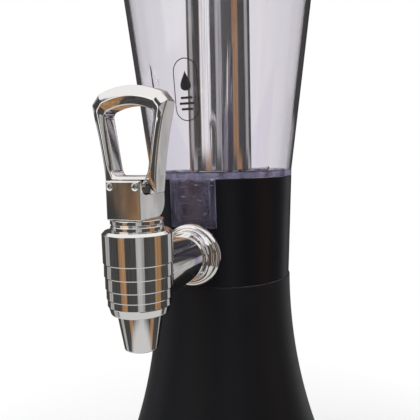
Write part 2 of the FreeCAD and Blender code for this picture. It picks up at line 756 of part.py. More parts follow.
spout = newBody("spout")
section = newSketch(spout, "SpoutSection", "XZ_Plane")
outline(section,
        ("spoutTipRadius", "spoutTip"), ("spoutTopRadius", "barrelBottom"),
        ("spoutSocketRadius", "barrelBottom"),
        ("spoutSocketRadius", "barrelBottom + spoutSocketDepth"),
        ("seatRadius", "barrelBottom + spoutSocketDepth"),
        ("seatRadius", "barrelBottom"), ("spoutTipRadius - spoutWall", "spoutTip"))
turned(spout, "Revolution", "SpoutCone", section)
rounded(spout, "Fillet", "SpoutEdge", "spoutEdge", ring("spoutTipRadius", "spoutTip"))
onTap(spout)


def annulus(body, name, inner, outer, start, end):
    """Plain ring about the shank's axis, from one distance off the tank's axis to another."""
    sketch = newSketch(body, name, "XY_Plane")
    box(sketch, inner, outer, "-" + end, "-" + start)
    return turned(body, "Revolution", name + "Ring", sketch)


boltHole = "(threadRadius + threadClearance)"
branchTaper = "((branchRadius - branchEndRadius) / (tapReach - branchEnd))"
flange = newBody("wall_flange")
section = newSketch(flange, "FlangeSection", "XY_Plane")
outline(section,
        (boltHole, "-flangeBack"), ("flangeRadius", "-flangeBack"),
        ("flangeRadius", "-flangeFront"), Arc(y="-flangeFront"),
        ("flangeRadius - flangeRound", "-flangeFront - flangeRound"),
        ("flangeStepRadius", "-flangeFront - flangeRound"),
        ("flangeStepRadius", "-flangeFront - flangeRound - flangeStep"),
        Arc(y="-flangeNose"), ("flangeNoseRadius", "-flangeNose"),
        ("branchEndRadius + flangeClearance + (flangeNose - branchEnd) * " + branchTaper,
         "-flangeNose"),
        ("branchEndRadius + flangeClearance", "-branchEnd"), (boltHole, "-branchEnd"))
turned(flange, "Revolution", "FlangeDisc", section)
onShank(flange)

gasket = newBody("flange_gasket")
annulus(gasket, "Gasket", boltHole, "gasketRadius", cupFoot + " - tankWall", "flangeBack")
section = newSketch(gasket, "CollarSeat", "XZ_Plane")
outline(section,
        ("0", "-shankHeight"), ("collarFootRadius", "-shankHeight"),
        ("collarRimRadius", "collarHeight - shankHeight"), ("0", "collarHeight - shankHeight"))
turned(gasket, "Groove", "Saddle", section)
onShank(gasket)

washer = newBody("tank_washer")
annulus(washer, "Washer", boltHole, "washerRadius", "washerFace", cupTop)
section = newSketch(washer, "CupTrim", "XZ_Plane")
outline(section,
        (cupFoot + " - tankWall", "collarFloor + tankFloor - shankHeight"),
        ("collarRimRadius * 2", "collarFloor + tankFloor - shankHeight"),
        ("collarRimRadius * 2", "collarHeight - shankHeight"),
        (cupTop + " - tankWall", "collarHeight - shankHeight"))
turned(washer, "Groove", "CupFace", section)
onShank(washer)

nut = newBody("shank_nut")
section = newSketch(nut, "HexOutline", "XZ_Plane", "washerFace - nutThickness")
hexagon(section, "0", "0", "nutAcrossFlats / sqrt(3)")
feature(nut, "Pad", "Hexagon", section, Length="nutThickness")
section = newSketch(nut, "ThreadCircle", "XZ_Plane", "washerFace - nutThickness")
circle(section, "0", "0", "threadRadius")
feature(nut, "Pocket", "Thread", section, Reversed=True, Length="nutThickness * 2")
onShank(nut)

# valve inside the tap ---------------------------------------------------------------------

bonnetFoot = "(barrelTop - bonnetSpigot)"
stemBore = "(stemRadius + stemClearance)"
bonnet = newBody("tap_bonnet")
section = newSketch(bonnet, "BonnetSection", "XZ_Plane")
spigot = "(chamberRadius - bonnetSpigotClearance)"
half = "((barrelTop + bonnetTop) / 2)"
outline(section,
        (stemBore, bonnetFoot + " + ringRecessDepth"),
        ("ringRecessRadius", bonnetFoot + " + ringRecessDepth"), ("ringRecessRadius", bonnetFoot),
        (spigot, bonnetFoot), (spigot, "barrelTop"), ("bonnetRadius", "barrelTop"),
        ("bonnetRadius", half + " - bonnetGroove"), ("bonnetRadius - bonnetGroove", half),
        ("bonnetRadius", half + " + bonnetGroove"), ("bonnetRadius", "bonnetTop"),
        (stemBore, "bonnetTop"))
turned(bonnet, "Revolution", "BonnetShell", section)
rounded(bonnet, "Chamfer", "BonnetEdge", "bonnetGroove / 2", ring("bonnetRadius", "bonnetTop"))
onTap(bonnet)

seatFace = "(chamberFloor + seatRise + seatCupGap)"
pinHeight = "(bonnetTop + headGap + pinLevel)"
stem = newBody("valve_stem")
section = newSketch(stem, "StemSection", "XZ_Plane")
outline(section,
        ("0", seatFace + " + seatCupBite"), ("stemRadius", seatFace + " + seatCupBite"),
        ("stemRadius", "stemCollarLevel"), ("stemCollarRadius", "stemCollarLevel"),
        ("stemCollarRadius", "stemCollarLevel + stemCollarHeight"),
        ("stemRadius", "stemCollarLevel + stemCollarHeight"),
        ("stemRadius", pinHeight + " + stemAbovePin"), ("0", pinHeight + " + stemAbovePin"))
turned(stem, "Revolution", "StemRod", section)
rounded(stem, "Chamfer", "StemTip", "stemRadius / 4",
        ring("stemRadius", pinHeight + " + stemAbovePin"))
section = newSketch(stem, "PinCircle", "YZ_Plane")
circle(section, "0", pinHeight, "pinRadius + pinFit")
feature(stem, "Pocket", "PinHole", section, Midplane=True, Length="stemRadius * 4")
onTap(stem)

pin = newBody("stem_pin")
section = newSketch(pin, "PinCircle", "YZ_Plane")
circle(section, "0", pinHeight, "pinRadius")
feature(pin, "Pad", "Pin", section, Midplane=True,
        Length="headCavityWidth + 2 * (pinSlotDepth - pinEndGap)")
onTap(pin)

seatCup = newBody("seat_cup")
section = newSketch(seatCup, "CupSection", "XZ_Plane")
outline(section,
        ("0", seatFace), ("seatCupRadius", seatFace),
        ("seatCupRadius", seatFace + " + seatCupThickness"),
        ("seatCupBoss", seatFace + " + seatCupThickness"),
        ("seatCupBoss", seatFace + " + seatCupThickness + seatCupBossHeight"),
        ("stemRadius", seatFace + " + seatCupThickness + seatCupBossHeight"),
        ("stemRadius", seatFace + " + seatCupBite"), ("0", seatFace + " + seatCupBite"))
turned(seatCup, "Revolution", "CupShell", section)
onTap(seatCup)

stemRing = newBody("stem_ring")
section = newSketch(stemRing, "RingSection", "XZ_Plane")
box(section, stemBore, stemBore + " + 2 * stemRingRadius",
    bonnetFoot + " + ringRecessDepth - 2 * stemRingRadius", bonnetFoot + " + ringRecessDepth")
turned(stemRing, "Revolution", "Ring", section)
onTap(stemRing)

springWasher = newBody("spring_washer")
section = newSketch(springWasher, "WasherSection", "XZ_Plane")
box(section, stemBore, "springWasherRadius", bonnetFoot + " - springWasherThickness", bonnetFoot)
turned(springWasher, "Revolution", "Washer", section)
onTap(springWasher)

spring = newBody("return_spring")
section = newSketch(spring, "WireSection", "XZ_Plane")
springFoot = "(stemCollarLevel + stemCollarHeight + springGap + springWire)"
hexagon(section, "springRadius", springFoot, "springWire")
coil = spring.newObject("PartDesign::AdditiveHelix", "Coil")
coil.Profile = (section, [""])
coil.ReferenceAxis = (section, ["V_Axis"])
coil.Mode = "height-turns-angle"
bind(coil, Turns="springTurns",
     Height=bonnetFoot + " - springWasherThickness - springGap - springWire - " + springFoot)
doc.recompute()
onTap(spring)

# lever head and handle --------------------------------------------------------------------

headFoot = "(bonnetTop + headGap)"
headTop = "(%s + headHeight)" % headFoot
notchFloor = "(%s - notchDepth)" % headTop
head = newBody("tap_head")
section = newSketch(head, "HeadOutline", "XY_Plane", headFoot)
box(section, "-headWidth / 2", "headWidth / 2", "-headDepth / 2", "headDepth / 2")
feature(head, "Pad", "HeadBlock", section, Length="headHeight")


def alongX(y, z):
    """Test for an edge that runs across the head at this place."""
    wantedY, wantedZ = size(y), size(z)

    def test(edge):
        middle = edge.CenterOfMass
        return (isinstance(edge.Curve, Part.Line) and near(middle.y, wantedY)
                and near(middle.z, wantedZ) and abs(edge.tangentAt(edge.FirstParameter).x) > 0.9)
    return test


def upright(edge):
    return (isinstance(edge.Curve, Part.Line)
            and abs(edge.tangentAt(edge.FirstParameter).z) > 0.9)


rounded(head, "Fillet", "Heel", "headHeel", alongX("headDepth / 2", headFoot))
section = newSketch(head, "NotchOutline", "YZ_Plane")
box(section, "-notchFront", "notchBack", notchFloor, headTop + " + notchDepth")
feature(head, "Pocket", "Notch", section, Midplane=True, Length="headWidth * 2")
floorEdges = [alongX(side, notchFloor) for side in ("-notchFront", "notchBack")]
rounded(head, "Fillet", "NotchCorners", "notchCorner", lambda e: any(t(e) for t in floorEdges))
section = newSketch(head, "CavityOutline", "XY_Plane", headFoot)
box(section, "-headCavityWidth / 2", "headCavityWidth / 2",
    "-headCavityDepth / 2", "headCavityDepth / 2")
feature(head, "Pocket", "Cavity", section, Reversed=True, Length="headCavityHeight")
section = newSketch(head, "SlotOutline", "YZ_Plane")
slotReach = "(pinRadius + pinSlotClearance)"
box(section, "-" + slotReach, "pinSlotTravel + " + slotReach, pinHeight + " - " + slotReach,
    pinHeight + " + " + slotReach)
feature(head, "Pocket", "PinSlots", section, Midplane=True,
        Length="headCavityWidth + 2 * pinSlotDepth")
screwHeight = "(%s + screwLevel)" % headFoot
section = newSketch(head, "ScrewHoles", "XZ_Plane")
circle(section, "-screwSpread", screwHeight, "screwRadius")
circle(section, "screwSpread", screwHeight, "screwRadius")
feature(head, "Pocket", "ScrewBores", section, Reversed=True, Length="headDepth")
section = newSketch(head, "ScrewSinks", "XZ_Plane", "headDepth / 2 - screwHeadDepth")
circle(section, "-screwSpread", screwHeight, "screwHeadRadius")
circle(section, "screwSpread", screwHeight, "screwHeadRadius")
feature(head, "Pocket", "ScrewRecesses", section, Reversed=True, Length="headDepth")
cornerX, cornerY = size("headWidth / 2"), size("headDepth / 2")
rounded(head, "Fillet", "HeadEdges", "headEdge",
        lambda e: upright(e) and near(abs(e.CenterOfMass.x), cornerX)
        and near(abs(e.CenterOfMass.y), cornerY))
onTap(head)

handle = newBody("handle_loop")
section = newSketch(handle, "HandleOutline", "XZ_Plane")
archRise = "(handleTop - handleCornerHeight)"
archRadius = "(((handleCornerWidth / 2)^2 + %s^2) / (2 * %s))" % (archRise, archRise)
outline(section,
        ("-handleFootWidth / 2", notchFloor), ("handleFootWidth / 2", notchFloor),
        ("handleHipWidth / 2", "handleFootTop"), ("handleMidWidth / 2", "handleMidHeight"),
        ("handleTopWidth / 2", "handleShoulder"),
        ("handleCornerWidth / 2", "handleCornerHeight"), Arc(y="handleTop - " + archRadius),
        ("-handleCornerWidth / 2", "handleCornerHeight"),
        ("-handleTopWidth / 2", "handleShoulder"), ("-handleMidWidth / 2", "handleMidHeight"),
        ("-handleHipWidth / 2", "handleFootTop"))
feature(handle, "Pad", "HandleBlock", section, Midplane=True, Length="handleDepth")


def onFace(side, level):
    """Test for an outer edge of the loop's front or back face, above this level."""
    wantedY, low = size(side + "handleDepth / 2"), size(level)

    def test(edge):
        return near(edge.CenterOfMass.y, wantedY) and edge.CenterOfMass.z > low
    return test


faceEdges = [onFace(side, notchFloor + " + notchCorner") for side in ("", "-")]
rounded(handle, "Chamfer", "HandleBevel", "handleBevel", lambda e: any(t(e) for t in faceEdges))
section = newSketch(handle, "LoopOutline", "XZ_Plane")
loopRise = "(loopTop - loopShoulder)"
loopArch = "(((loopTopWidth / 2)^2 + %s^2) / (2 * %s))" % (loopRise, loopRise)
outline(section,
        ("-loopFootWidth / 2", "handleFootTop"), ("loopFootWidth / 2", "handleFootTop"),
        ("loopTopWidth / 2", "loopShoulder"), Arc(y="loopTop - " + loopArch),
        ("-loopTopWidth / 2", "loopShoulder"))
feature(handle, "Pocket", "Loop", section, Midplane=True, Length="handleDepth * 2")
loopSides = [size("loopFootWidth / 2"), size("loopTopWidth / 2")]


def acrossLoop(edge):
    """Test for the loop's inner corners, which run front to back."""
    middle = edge.CenterOfMass
    return (isinstance(edge.Curve, Part.Line)
            and abs(edge.tangentAt(edge.FirstParameter).y) > 0.9
            and any(near(abs(middle.x), side) for side in loopSides)
            and middle.z < size("handleTop") and near(middle.y, 0)
            and (near(middle.z, size("handleFootTop")) or near(middle.z, size("loopShoulder"))))


rounded(handle, "Fillet", "LoopCorners", "loopCorner", acrossLoop)
seatEdges = [alongX(side + "handleDepth / 2", notchFloor) for side in ("", "-")]
rounded(handle, "Fillet", "SeatCorners", "notchCorner - (notchBack - handleDepth / 2)",
        lambda e: any(t(e) for t in seatEdges))
section = newSketch(handle, "ScrewHoles", "XZ_Plane", "handleDepth / 2 - screwBite")
circle(section, "-screwSpread", screwHeight, "screwRadius")
circle(section, "screwSpread", screwHeight, "screwRadius")
feature(handle, "Pocket", "ScrewBores", section, Reversed=True, Length="handleDepth")
onTap(handle)


def makeHandleScrew(name, side):
    """Small screw from the head's front face into the handle's foot."""
    frontY = "(-tapReach - headDepth / 2)"
    place = {"Placement__Base__x": side + "screwSpread",
             "Placement__Base__z": "seamHeight + " + screwHeight}
    cap = primitive("Cylinder", name + "_cap", Radius="screwHeadRadius - screwHeadGap",
                    Height="screwHeadDepth - screwHeadGap",
                    Placement__Base__y=frontY + " + screwHeadDepth", **place)
    shank = primitive("Cylinder", name + "_shank", Radius="screwRadius",
                      Height="(headDepth - handleDepth) / 2 + screwBite - screwHeadDepth",
                      Placement__Base__y="-tapReach - handleDepth / 2 + screwBite", **place)
    for part in (cap, shank):
        part.Placement.Rotation = FreeCAD.Rotation(FreeCAD.Vector(1, 0, 0), 90)
    return fused(name, cap, shank)


screws = doc.addObject("Part::Compound", "handle_screws")
screws.Links = [makeHandleScrew("handle_screw_left", "-"),
                makeHandleScrew("handle_screw_right", "")]
screws.Label = "handle_screws"

# check and write --------------------------------------------------------------------------

doc.recompute()
for item in doc.Objects:
    if "Invalid" in item.State or "Error" in item.State:
        raise ValueError("%s: %s" % (item.Name, item.State))
nodes = [o for o in doc.Objects if o.TypeId in ("PartDesign::Body", "Part::Compound")]
for node in nodes:
    if node.Shape.isNull() or not node.Shape.isValid():
        raise ValueError("%s has no valid shape" % node.Label)
for node in nodes:
    node.Shape.exportStep("parts/%s.step" % node.Label)
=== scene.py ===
import math
import bmesh
import bpy
import numpy as np
from mathutils import Matrix, Vector


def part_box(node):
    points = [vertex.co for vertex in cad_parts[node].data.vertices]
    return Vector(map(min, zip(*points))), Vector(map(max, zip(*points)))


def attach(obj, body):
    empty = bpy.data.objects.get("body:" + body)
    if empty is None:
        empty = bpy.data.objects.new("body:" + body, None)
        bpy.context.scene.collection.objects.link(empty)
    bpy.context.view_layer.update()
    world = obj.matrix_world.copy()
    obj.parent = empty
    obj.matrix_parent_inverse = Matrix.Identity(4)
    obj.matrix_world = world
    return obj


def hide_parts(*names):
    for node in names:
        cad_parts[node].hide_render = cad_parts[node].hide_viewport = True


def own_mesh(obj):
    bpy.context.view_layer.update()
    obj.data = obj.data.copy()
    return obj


# A table-top drink tower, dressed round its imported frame. Lengths in the dictionaries are in
# millimetres above the table and from the tank's axis, and become metres in makePiece.

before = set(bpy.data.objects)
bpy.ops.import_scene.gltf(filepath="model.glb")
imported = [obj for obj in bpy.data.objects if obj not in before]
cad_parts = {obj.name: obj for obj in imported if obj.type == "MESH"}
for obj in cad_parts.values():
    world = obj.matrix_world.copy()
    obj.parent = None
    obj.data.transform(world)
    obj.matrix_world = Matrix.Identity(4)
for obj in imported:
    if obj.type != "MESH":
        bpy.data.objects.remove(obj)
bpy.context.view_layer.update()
mm = 0.001
seamLevel = 180.0     # where the skirt ends and the collar starts
tapReach = 107.25     # from the tank's axis forward to the tap's axis
shankLevel = 200.46   # height of the axis that joins the tap to the collar
segments = 192        # round the larger turned pieces


def softPath(corners, arcSteps=5):
    # A closed path of (a, b, radius) corners. A corner with a radius becomes an arc that touches both
    # sides: centre + start * sin((1 - t) turn) / sin(turn) + end * sin(t turn) / sin(turn), t from 0 to 1,
    # with a support point just before and after it, so that the flat runs stay flat when shaded.
    path = []
    for i, (a, b, radius) in enumerate(corners):
        here = np.array([a, b], float)
        if radius <= 0:
            path.append(here[None])
            continue
        before = np.array(corners[i - 1][:2]) - here
        after = np.array(corners[(i + 1) % len(corners)][:2]) - here
        before, after = before / np.linalg.norm(before), after / np.linalg.norm(after)
        halfAngle = math.acos(np.clip(before @ after, -1, 1)) / 2
        turn = math.pi - 2 * halfAngle
        reach = radius / math.tan(halfAngle)
        centre = here + (before + after) / np.linalg.norm(before + after) * radius / math.sin(halfAngle)
        t = np.linspace(0, 1, arcSteps + 1)[:, None]
        start, end = here + before * reach - centre, here + after * reach - centre
        arc = centre + (np.sin((1 - t) * turn) * start + np.sin(t * turn) * end) / math.sin(turn)
        support = radius * 0.2
        path.append(np.vstack([arc[:1] + before * support, arc, arc[-1:] + after * support]))
    return np.vstack(path)


def gridFaces(rows, columns, wrapRows=False, wrapColumns=False):
    # Four-sided faces of a grid, with its last row or column joined to its first where it wraps.
    r, c = np.meshgrid(np.arange(rows - (not wrapRows)), np.arange(columns - (not wrapColumns)),
                       indexing="ij")
    r2, c2 = (r + 1) % rows, (c + 1) % columns
    return np.stack([r * columns + c, r * columns + c2, r2 * columns + c2, r2 * columns + c],
                    -1).reshape(-1, 4)


def makePiece(name, points, faces, sharp=32, close=True):
    # Points in millimetres become a mesh in metres. Doubles are merged, so poles close, and a closed
    # piece gets its faces turned outward.
    mesh = bpy.data.meshes.new(name)
    mesh.from_pydata((np.asarray(points).reshape(-1, 3) * mm).tolist(), [],
                     [list(f) for f in np.asarray(faces).tolist()] if isinstance(faces, np.ndarray)
                     else faces)
    work = bmesh.new()
    work.from_mesh(mesh)
    bmesh.ops.remove_doubles(work, verts=work.verts, dist=1e-7)
    if close:
        bmesh.ops.recalc_face_normals(work, faces=work.faces)
    work.to_mesh(mesh)
    work.free()
    return finishMesh(name, mesh, sharp)


def finishMesh(name, mesh, sharp):
    mesh.shade_smooth()
    mesh.set_sharp_from_angle(angle=math.radians(sharp))
    piece = bpy.data.objects.new(name, mesh)
    bpy.context.scene.collection.objects.link(piece)
    return piece


def turnedPoints(profile, around, axis="z"):
    # A profile of (radius, height) turned about an axis: (r cos a, r sin a, h), or for the shank's
    # axis (r cos a, -h, r sin a + its level), where h counts forward from the tank's axis.
    a = np.linspace(0, 2 * math.pi, around, endpoint=False)
    r, h = profile[:, 0][:, None], profile[:, 1][:, None]
    if axis == "z":
        return np.stack([r * np.cos(a), r * np.sin(a), h + 0 * a], -1)
    if axis == "tap":
        return np.stack([r * np.cos(a), r * np.sin(a) - tapReach, h + seamLevel + 0 * a], -1)
    return np.stack([r * np.cos(a), -h + 0 * a, r * np.sin(a) + shankLevel], -1)


def turned(name, profile, around=segments, axis="z", sharp=32):
    points = turnedPoints(np.asarray(profile, float), around, axis)
    return makePiece(name, points, gridFaces(len(profile), around, True, True), sharp)


def blocks(name, outline, low, high, place):
    # A closed outline of (a, b) points carried straight from low to high, with flat ends.
    count = len(outline)
    points = np.vstack([place(outline, low), place(outline, high)])
    sides = gridFaces(2, count, False, True).tolist()
    return makePiece(name, points, sides + [list(range(count)), list(range(count, 2 * count))])


def combined(piece, other, operation, sharp=32):
    # Exact union with, or difference from, another closed piece, which is used up.
    tool = piece.modifiers.new("combine", "BOOLEAN")
    tool.operation, tool.object, tool.solver = operation, other, "EXACT"
    bpy.context.view_layer.update()
    graph = bpy.context.evaluated_depsgraph_get()
    mesh = bpy.data.meshes.new_from_object(piece.evaluated_get(graph))
    name = piece.name
    bpy.data.objects.remove(other)
    bpy.data.objects.remove(piece)
    piece = finishMesh(name, mesh, sharp)
    piece.name = name
    return piece


def arcRun(start, end, slopeEnd, count):
    # Arc of a circle between two (radius, height) points whose tangent is vertical at slopeEnd's
    # height, so its centre lies level with that end.
    (r0, h0), (r1, h1) = start, end
    level = h1 if slopeEnd == "end" else h0
    middleR, middleH = (r0 + r1) / 2, (h0 + h1) / 2
    centreR = middleR - (level - middleH) * (h1 - h0) / (r1 - r0)
    radius = math.hypot(r0 - centreR, h0 - level)
    first, last = math.atan2(h0 - level, r0 - centreR), math.atan2(h1 - level, r1 - centreR)
    last += 2 * math.pi * round((first - last) / (2 * math.pi))
    a = np.linspace(first, last, count)
    return np.stack([centreR + radius * np.cos(a), level + radius * np.sin(a)], -1)


class Finish:
    # A node material with short calls to add and join nodes.
    def __init__(self, name, material=None):
        self.material = material or bpy.data.materials.new(name)
        self.material.use_nodes = True
        self.tree = self.material.node_tree
        self.shader = self.tree.nodes["Principled BSDF"]
        self.out = self.tree.nodes["Material Output"]
        self.place = self.add("ShaderNodeTexCoord").outputs["Object"]

    def add(self, kind, **settings):
        node = self.tree.nodes.new(kind)
        for key, value in settings.items():
            setattr(node, key, value)
        return node

    def join(self, source, target):
        self.tree.links.new(source, target)

    def put(self, **values):
        for key, value in values.items():
            self.shader.inputs[key.replace("_", " ")].default_value = value

    def stretched(self, scale):
        mapping = self.add("ShaderNodeMapping")
        mapping.inputs["Scale"].default_value = scale
        self.join(self.place, mapping.inputs["Vector"])
        return mapping.outputs["Vector"]

    def noise(self, scale, detail=3.0, stretch=None, rough=0.5):
        node = self.add("ShaderNodeTexNoise")
        node.inputs["Scale"].default_value = scale
        node.inputs["Detail"].default_value = detail
        node.inputs["Roughness"].default_value = rough
        self.join(self.stretched(stretch) if stretch else self.place, node.inputs["Vector"])
        return node.outputs["Fac"]

    def ranged(self, source, low, high, fromLow=0.3, fromHigh=0.7):
        node = self.add("ShaderNodeMapRange")
        for key, value in (("From Min", fromLow), ("From Max", fromHigh), ("To Min", low),
                           ("To Max", high)):
            node.inputs[key].default_value = value
        self.join(source, node.inputs["Value"])
        return node.outputs["Result"]

    def figure(self, operation, *values):
        node = self.add("ShaderNodeMath", operation=operation)
        for socket, value in zip(node.inputs, values):
            if isinstance(value, (int, float)):
                socket.default_value = value
            else:
                self.join(value, socket)
        return node.outputs[0]

    def layered(self, factor, under, over):
        node = self.add("ShaderNodeMixShader")
        for socket, source in zip(node.inputs, (factor, under, over)):
            self.join(source, socket)
        return node.outputs[0]

    def tinted(self, factor, first, second):
        node = self.add("ShaderNodeMix", data_type="RGBA")
        node.inputs["A"].default_value = (*first, 1)
        node.inputs["B"].default_value = (*second, 1)
        self.join(factor, node.inputs["Factor"])
        self.join(node.outputs["Result"], self.shader.inputs["Base Color"])

    def rough(self, source):
        self.join(source, self.shader.inputs["Roughness"])

    def bumped(self, height, strength, distance):
        node = self.add("ShaderNodeBump")
        node.inputs["Strength"].default_value = strength
        node.inputs["Distance"].default_value = distance
        self.join(height, node.inputs["Height"])
        self.join(node.outputs["Normal"], self.shader.inputs["Normal"])


def satinPlastic(name, dark, light, roughLow, roughHigh, grain, bloom=0.0):
    # Moulded black plastic: a very fine spark-eroded grain, slow changes of gloss, and a bloom that
    # lightens it where it turns away.
    f = Finish(name)
    f.tinted(f.noise(26.0, 4.0), dark, light)
    f.rough(f.ranged(f.noise(60.0, 5.0), roughLow, roughHigh))
    f.bumped(f.noise(2600.0, 2.0), grain, 0.00005)
    f.put(Specular_IOR_Level=0.30, Sheen_Weight=bloom, Sheen_Roughness=0.35)
    return f.material


def polishedMetal(name, color, second, roughLow, roughHigh, scratches, stretch):
    # Plated metal: slow changes of gloss, faint polishing lines along the piece.
    f = Finish(name)
    f.tinted(f.noise(35.0, 3.0), color, second)
    f.rough(f.ranged(f.noise(140.0, 4.0, stretch), roughLow, roughHigh))
    f.bumped(f.noise(900.0, 2.0, stretch), scratches, 0.00002)
    f.put(Metallic=1.0)
    return f.material


def notchedChrome():
    # Polished like the rest of the tap, but the inside of the notch that the handle stands in gets a dark,
    # rougher metal: painted shade in the recess. The notch is a box in x, y and z.
    material = polishedMetal("notchedChrome", (0.90, 0.88, 0.86), (0.94, 0.92, 0.90), 0.02, 0.06, 0.02, None)
    f = Finish("spare", material)
    where = f.add("ShaderNodeSeparateXYZ")
    f.join(f.place, where.inputs[0])
    x, y, z = where.outputs
    reach = tapReach * mm
    inside = f.figure("MULTIPLY", f.ranged(f.figure("ABSOLUTE", x), 1.0, 0.0, 0.00915, 0.00925),
                      f.ranged(z, 0.0, 1.0, (seamLevel + 62.0) * mm, (seamLevel + 62.15) * mm))
    for low, high, first, last in ((-9.40, -9.25, 0.0, 1.0), (6.45, 6.60, 1.0, 0.0)):
        inside = f.figure("MULTIPLY", inside, f.ranged(y, first, last, low * mm - reach, high * mm - reach))
    # painted shade: dark, rough metal mixed in inside the notch
    paintedNotchShade = f.add("ShaderNodeBsdfPrincipled")
    for key, value in (("Base Color", (0.11, 0.105, 0.10, 1)), ("Metallic", 1.0), ("Roughness", 0.38)):
        paintedNotchShade.inputs[key].default_value = value
    f.join(f.layered(inside, f.shader.outputs[0], paintedNotchShade.outputs[0]), f.out.inputs["Surface"])
    return material


def clearPlastic():
    # Clear moulding: a thick wall is tinted violet by what it absorbs, a thin one hardly at all. The cup and
    # its key, below the shoulder, are a little cloudy, which a lavender layer under the glass shows; on the
    # key it also carries painted highlights and glints.
    f = Finish("clearPlastic")
    f.put(Transmission_Weight=1.0, IOR=1.47, Base_Color=(0.99, 0.985, 0.98, 1))
    f.rough(f.ranged(f.noise(30.0, 3.0), 0.0, 0.02))
    f.bumped(f.noise(45.0, 2.0, (1, 1, 0.35)), 0.04, 0.0004)
    where = f.add("ShaderNodeSeparateXYZ")
    f.join(f.place, where.inputs[0])
    x, y, z = where.outputs
    hazeAndHighlightLayer = f.add("ShaderNodeBsdfPrincipled")
    hazeAndHighlightLayer.inputs["Base Color"].default_value = (0.36, 0.33, 0.50, 1)
    hazeAndHighlightLayer.inputs["Roughness"].default_value = 0.22
    # a little haze up to the shoulder, and more in the thick ring under it
    ring = f.figure("MULTIPLY", f.ranged(z, 0.0, 0.3, 0.2440, 0.2465), f.ranged(z, 1.0, 0.0, 0.2490, 0.2500))
    hazeAndHighlights = f.figure("ADD", ring, f.ranged(z, 0.06, 0.0, 0.2490, 0.2500))
    hazeAndHighlights = f.figure("MULTIPLY", hazeAndHighlights, f.ranged(f.noise(150.0, 4.0, (1, 1, 0.7)), 0.45, 1.55, 0.36, 0.64))
    # the key gets painted highlights along the corners of its hollow and its own, streaked downwards
    offset = f.figure("ABSOLUTE", x)
    hollow = f.ranged(f.figure("ABSOLUTE", f.figure("SUBTRACT", offset, 0.0115)), 0.4, 0.0, 0.0002, 0.0006)
    corners = f.figure("ADD", f.figure("ADD", hollow, f.ranged(offset, 0.0, 0.4, 0.0143, 0.0149)), 0.05)
    streaked = f.figure("MULTIPLY", corners,
                        f.ranged(f.noise(420.0, 3.0, (1, 1, 0.16)), 0.05, 1.4, 0.35, 0.65))
    # a few painted glints: small pale spots at random
    streaked = f.figure("ADD", streaked, f.ranged(f.noise(330.0, 1.0, (0.55, 0.55, 3.2)), 0.0, 1.2, 0.68,
                                                  0.73))
    key = f.figure("MULTIPLY", f.ranged(y, 1.0, 0.0, -0.040, -0.036), f.ranged(z, 1.0, 0.0, 0.2440, 0.2460))
    # the painted highlights and glints fade towards the bottom of the key
    fading = f.ranged(z, 0.20, 0.60, 0.222, 0.238)
    hazeAndHighlights = f.figure("MULTIPLY_ADD", key, f.figure("MULTIPLY", streaked, fading), hazeAndHighlights)
    clear = f.layered(hazeAndHighlights, f.shader.outputs[0], hazeAndHighlightLayer.outputs[0])
    # the rib in front gets a painted sheen on its edge: violet low down, and a painted highlight, pale
    # towards its tip and along one side
    flat = f.add("ShaderNodeVectorMath", operation="LENGTH")
    f.join(f.stretched((1, 1, 0)), flat.inputs[0])
    within = f.figure("SUBTRACT", f.figure("MULTIPLY_ADD", z, 0.1201, 0.0443 - 0.2496 * 0.1201),
                      flat.outputs["Value"])
    ribs = f.figure("MULTIPLY", f.ranged(within, 0.0, 1.0, 0.0002, 0.0004),
                    f.ranged(z, 0.0, 1.0, 0.2500, 0.2506))
    front = f.figure("MULTIPLY", ribs, f.ranged(y, 1.0, 0.0, -0.007, -0.005))
    aside = f.figure("ADD", f.figure("MULTIPLY", x, 0.8660), f.figure("MULTIPLY", y, 0.5))
    spear = f.ranged(f.figure("MULTIPLY_ADD", z, 0.0386, f.figure("ABSOLUTE", aside)), 1.0, 0.0, 0.012450,
                     0.012560)
    front = f.figure("MULTIPLY", front, spear)
    across = f.add("ShaderNodeVectorMath", operation="DOT_PRODUCT")
    f.join(f.add("ShaderNodeNewGeometry").outputs["Normal"], across.inputs[0])
    across.inputs[1].default_value = (math.cos(math.radians(30)), math.sin(math.radians(30)), 0)
    edge = f.ranged(f.figure("ABSOLUTE", across.outputs["Value"]), 0.85, 0.0, 0.3, 0.5)
    grazing = f.ranged(f.add("ShaderNodeLayerWeight").outputs["Facing"], 0.0, 0.85, 0.55, 0.90)
    # painted sheen: an opaque layer over the front rib's edge
    paintedRibSheen = f.add("ShaderNodeBsdfPrincipled")
    paintedRibSheen.inputs["Roughness"].default_value = 0.3
    tone = f.add("ShaderNodeMix", data_type="RGBA")
    tone.inputs["A"].default_value, tone.inputs["B"].default_value = (0.085, 0.072, 0.22, 1), (0.80, 0.76,
                                                                                               0.72, 1)
    # painted highlight: pale towards the rib's tip and along one side of it
    paintedHighlight = f.figure("MAXIMUM", f.ranged(z, 0.0, 1.0, 0.283, 0.289), f.ranged(aside, 0.0, 0.7, 0.0003, 0.0006))
    f.join(paintedHighlight, tone.inputs["Factor"])
    f.join(tone.outputs["Result"], paintedRibSheen.inputs["Base Color"])
    clear = f.layered(f.figure("MULTIPLY", front, f.figure("MAXIMUM", edge, grazing)), clear,
                      paintedRibSheen.outputs[0])
    # the left one hardly shows below its tip, and the one behind on the right not at all
    left = f.figure("MULTIPLY", f.ranged(x, 1.0, 0.0, -0.01, 0.01), f.ranged(z, 0.9, 0.0, 0.308, 0.315))
    faint = f.figure("MULTIPLY", ribs, f.figure("MAXIMUM", left, f.ranged(y, 0.0, 1.0, 0.008, 0.010)))
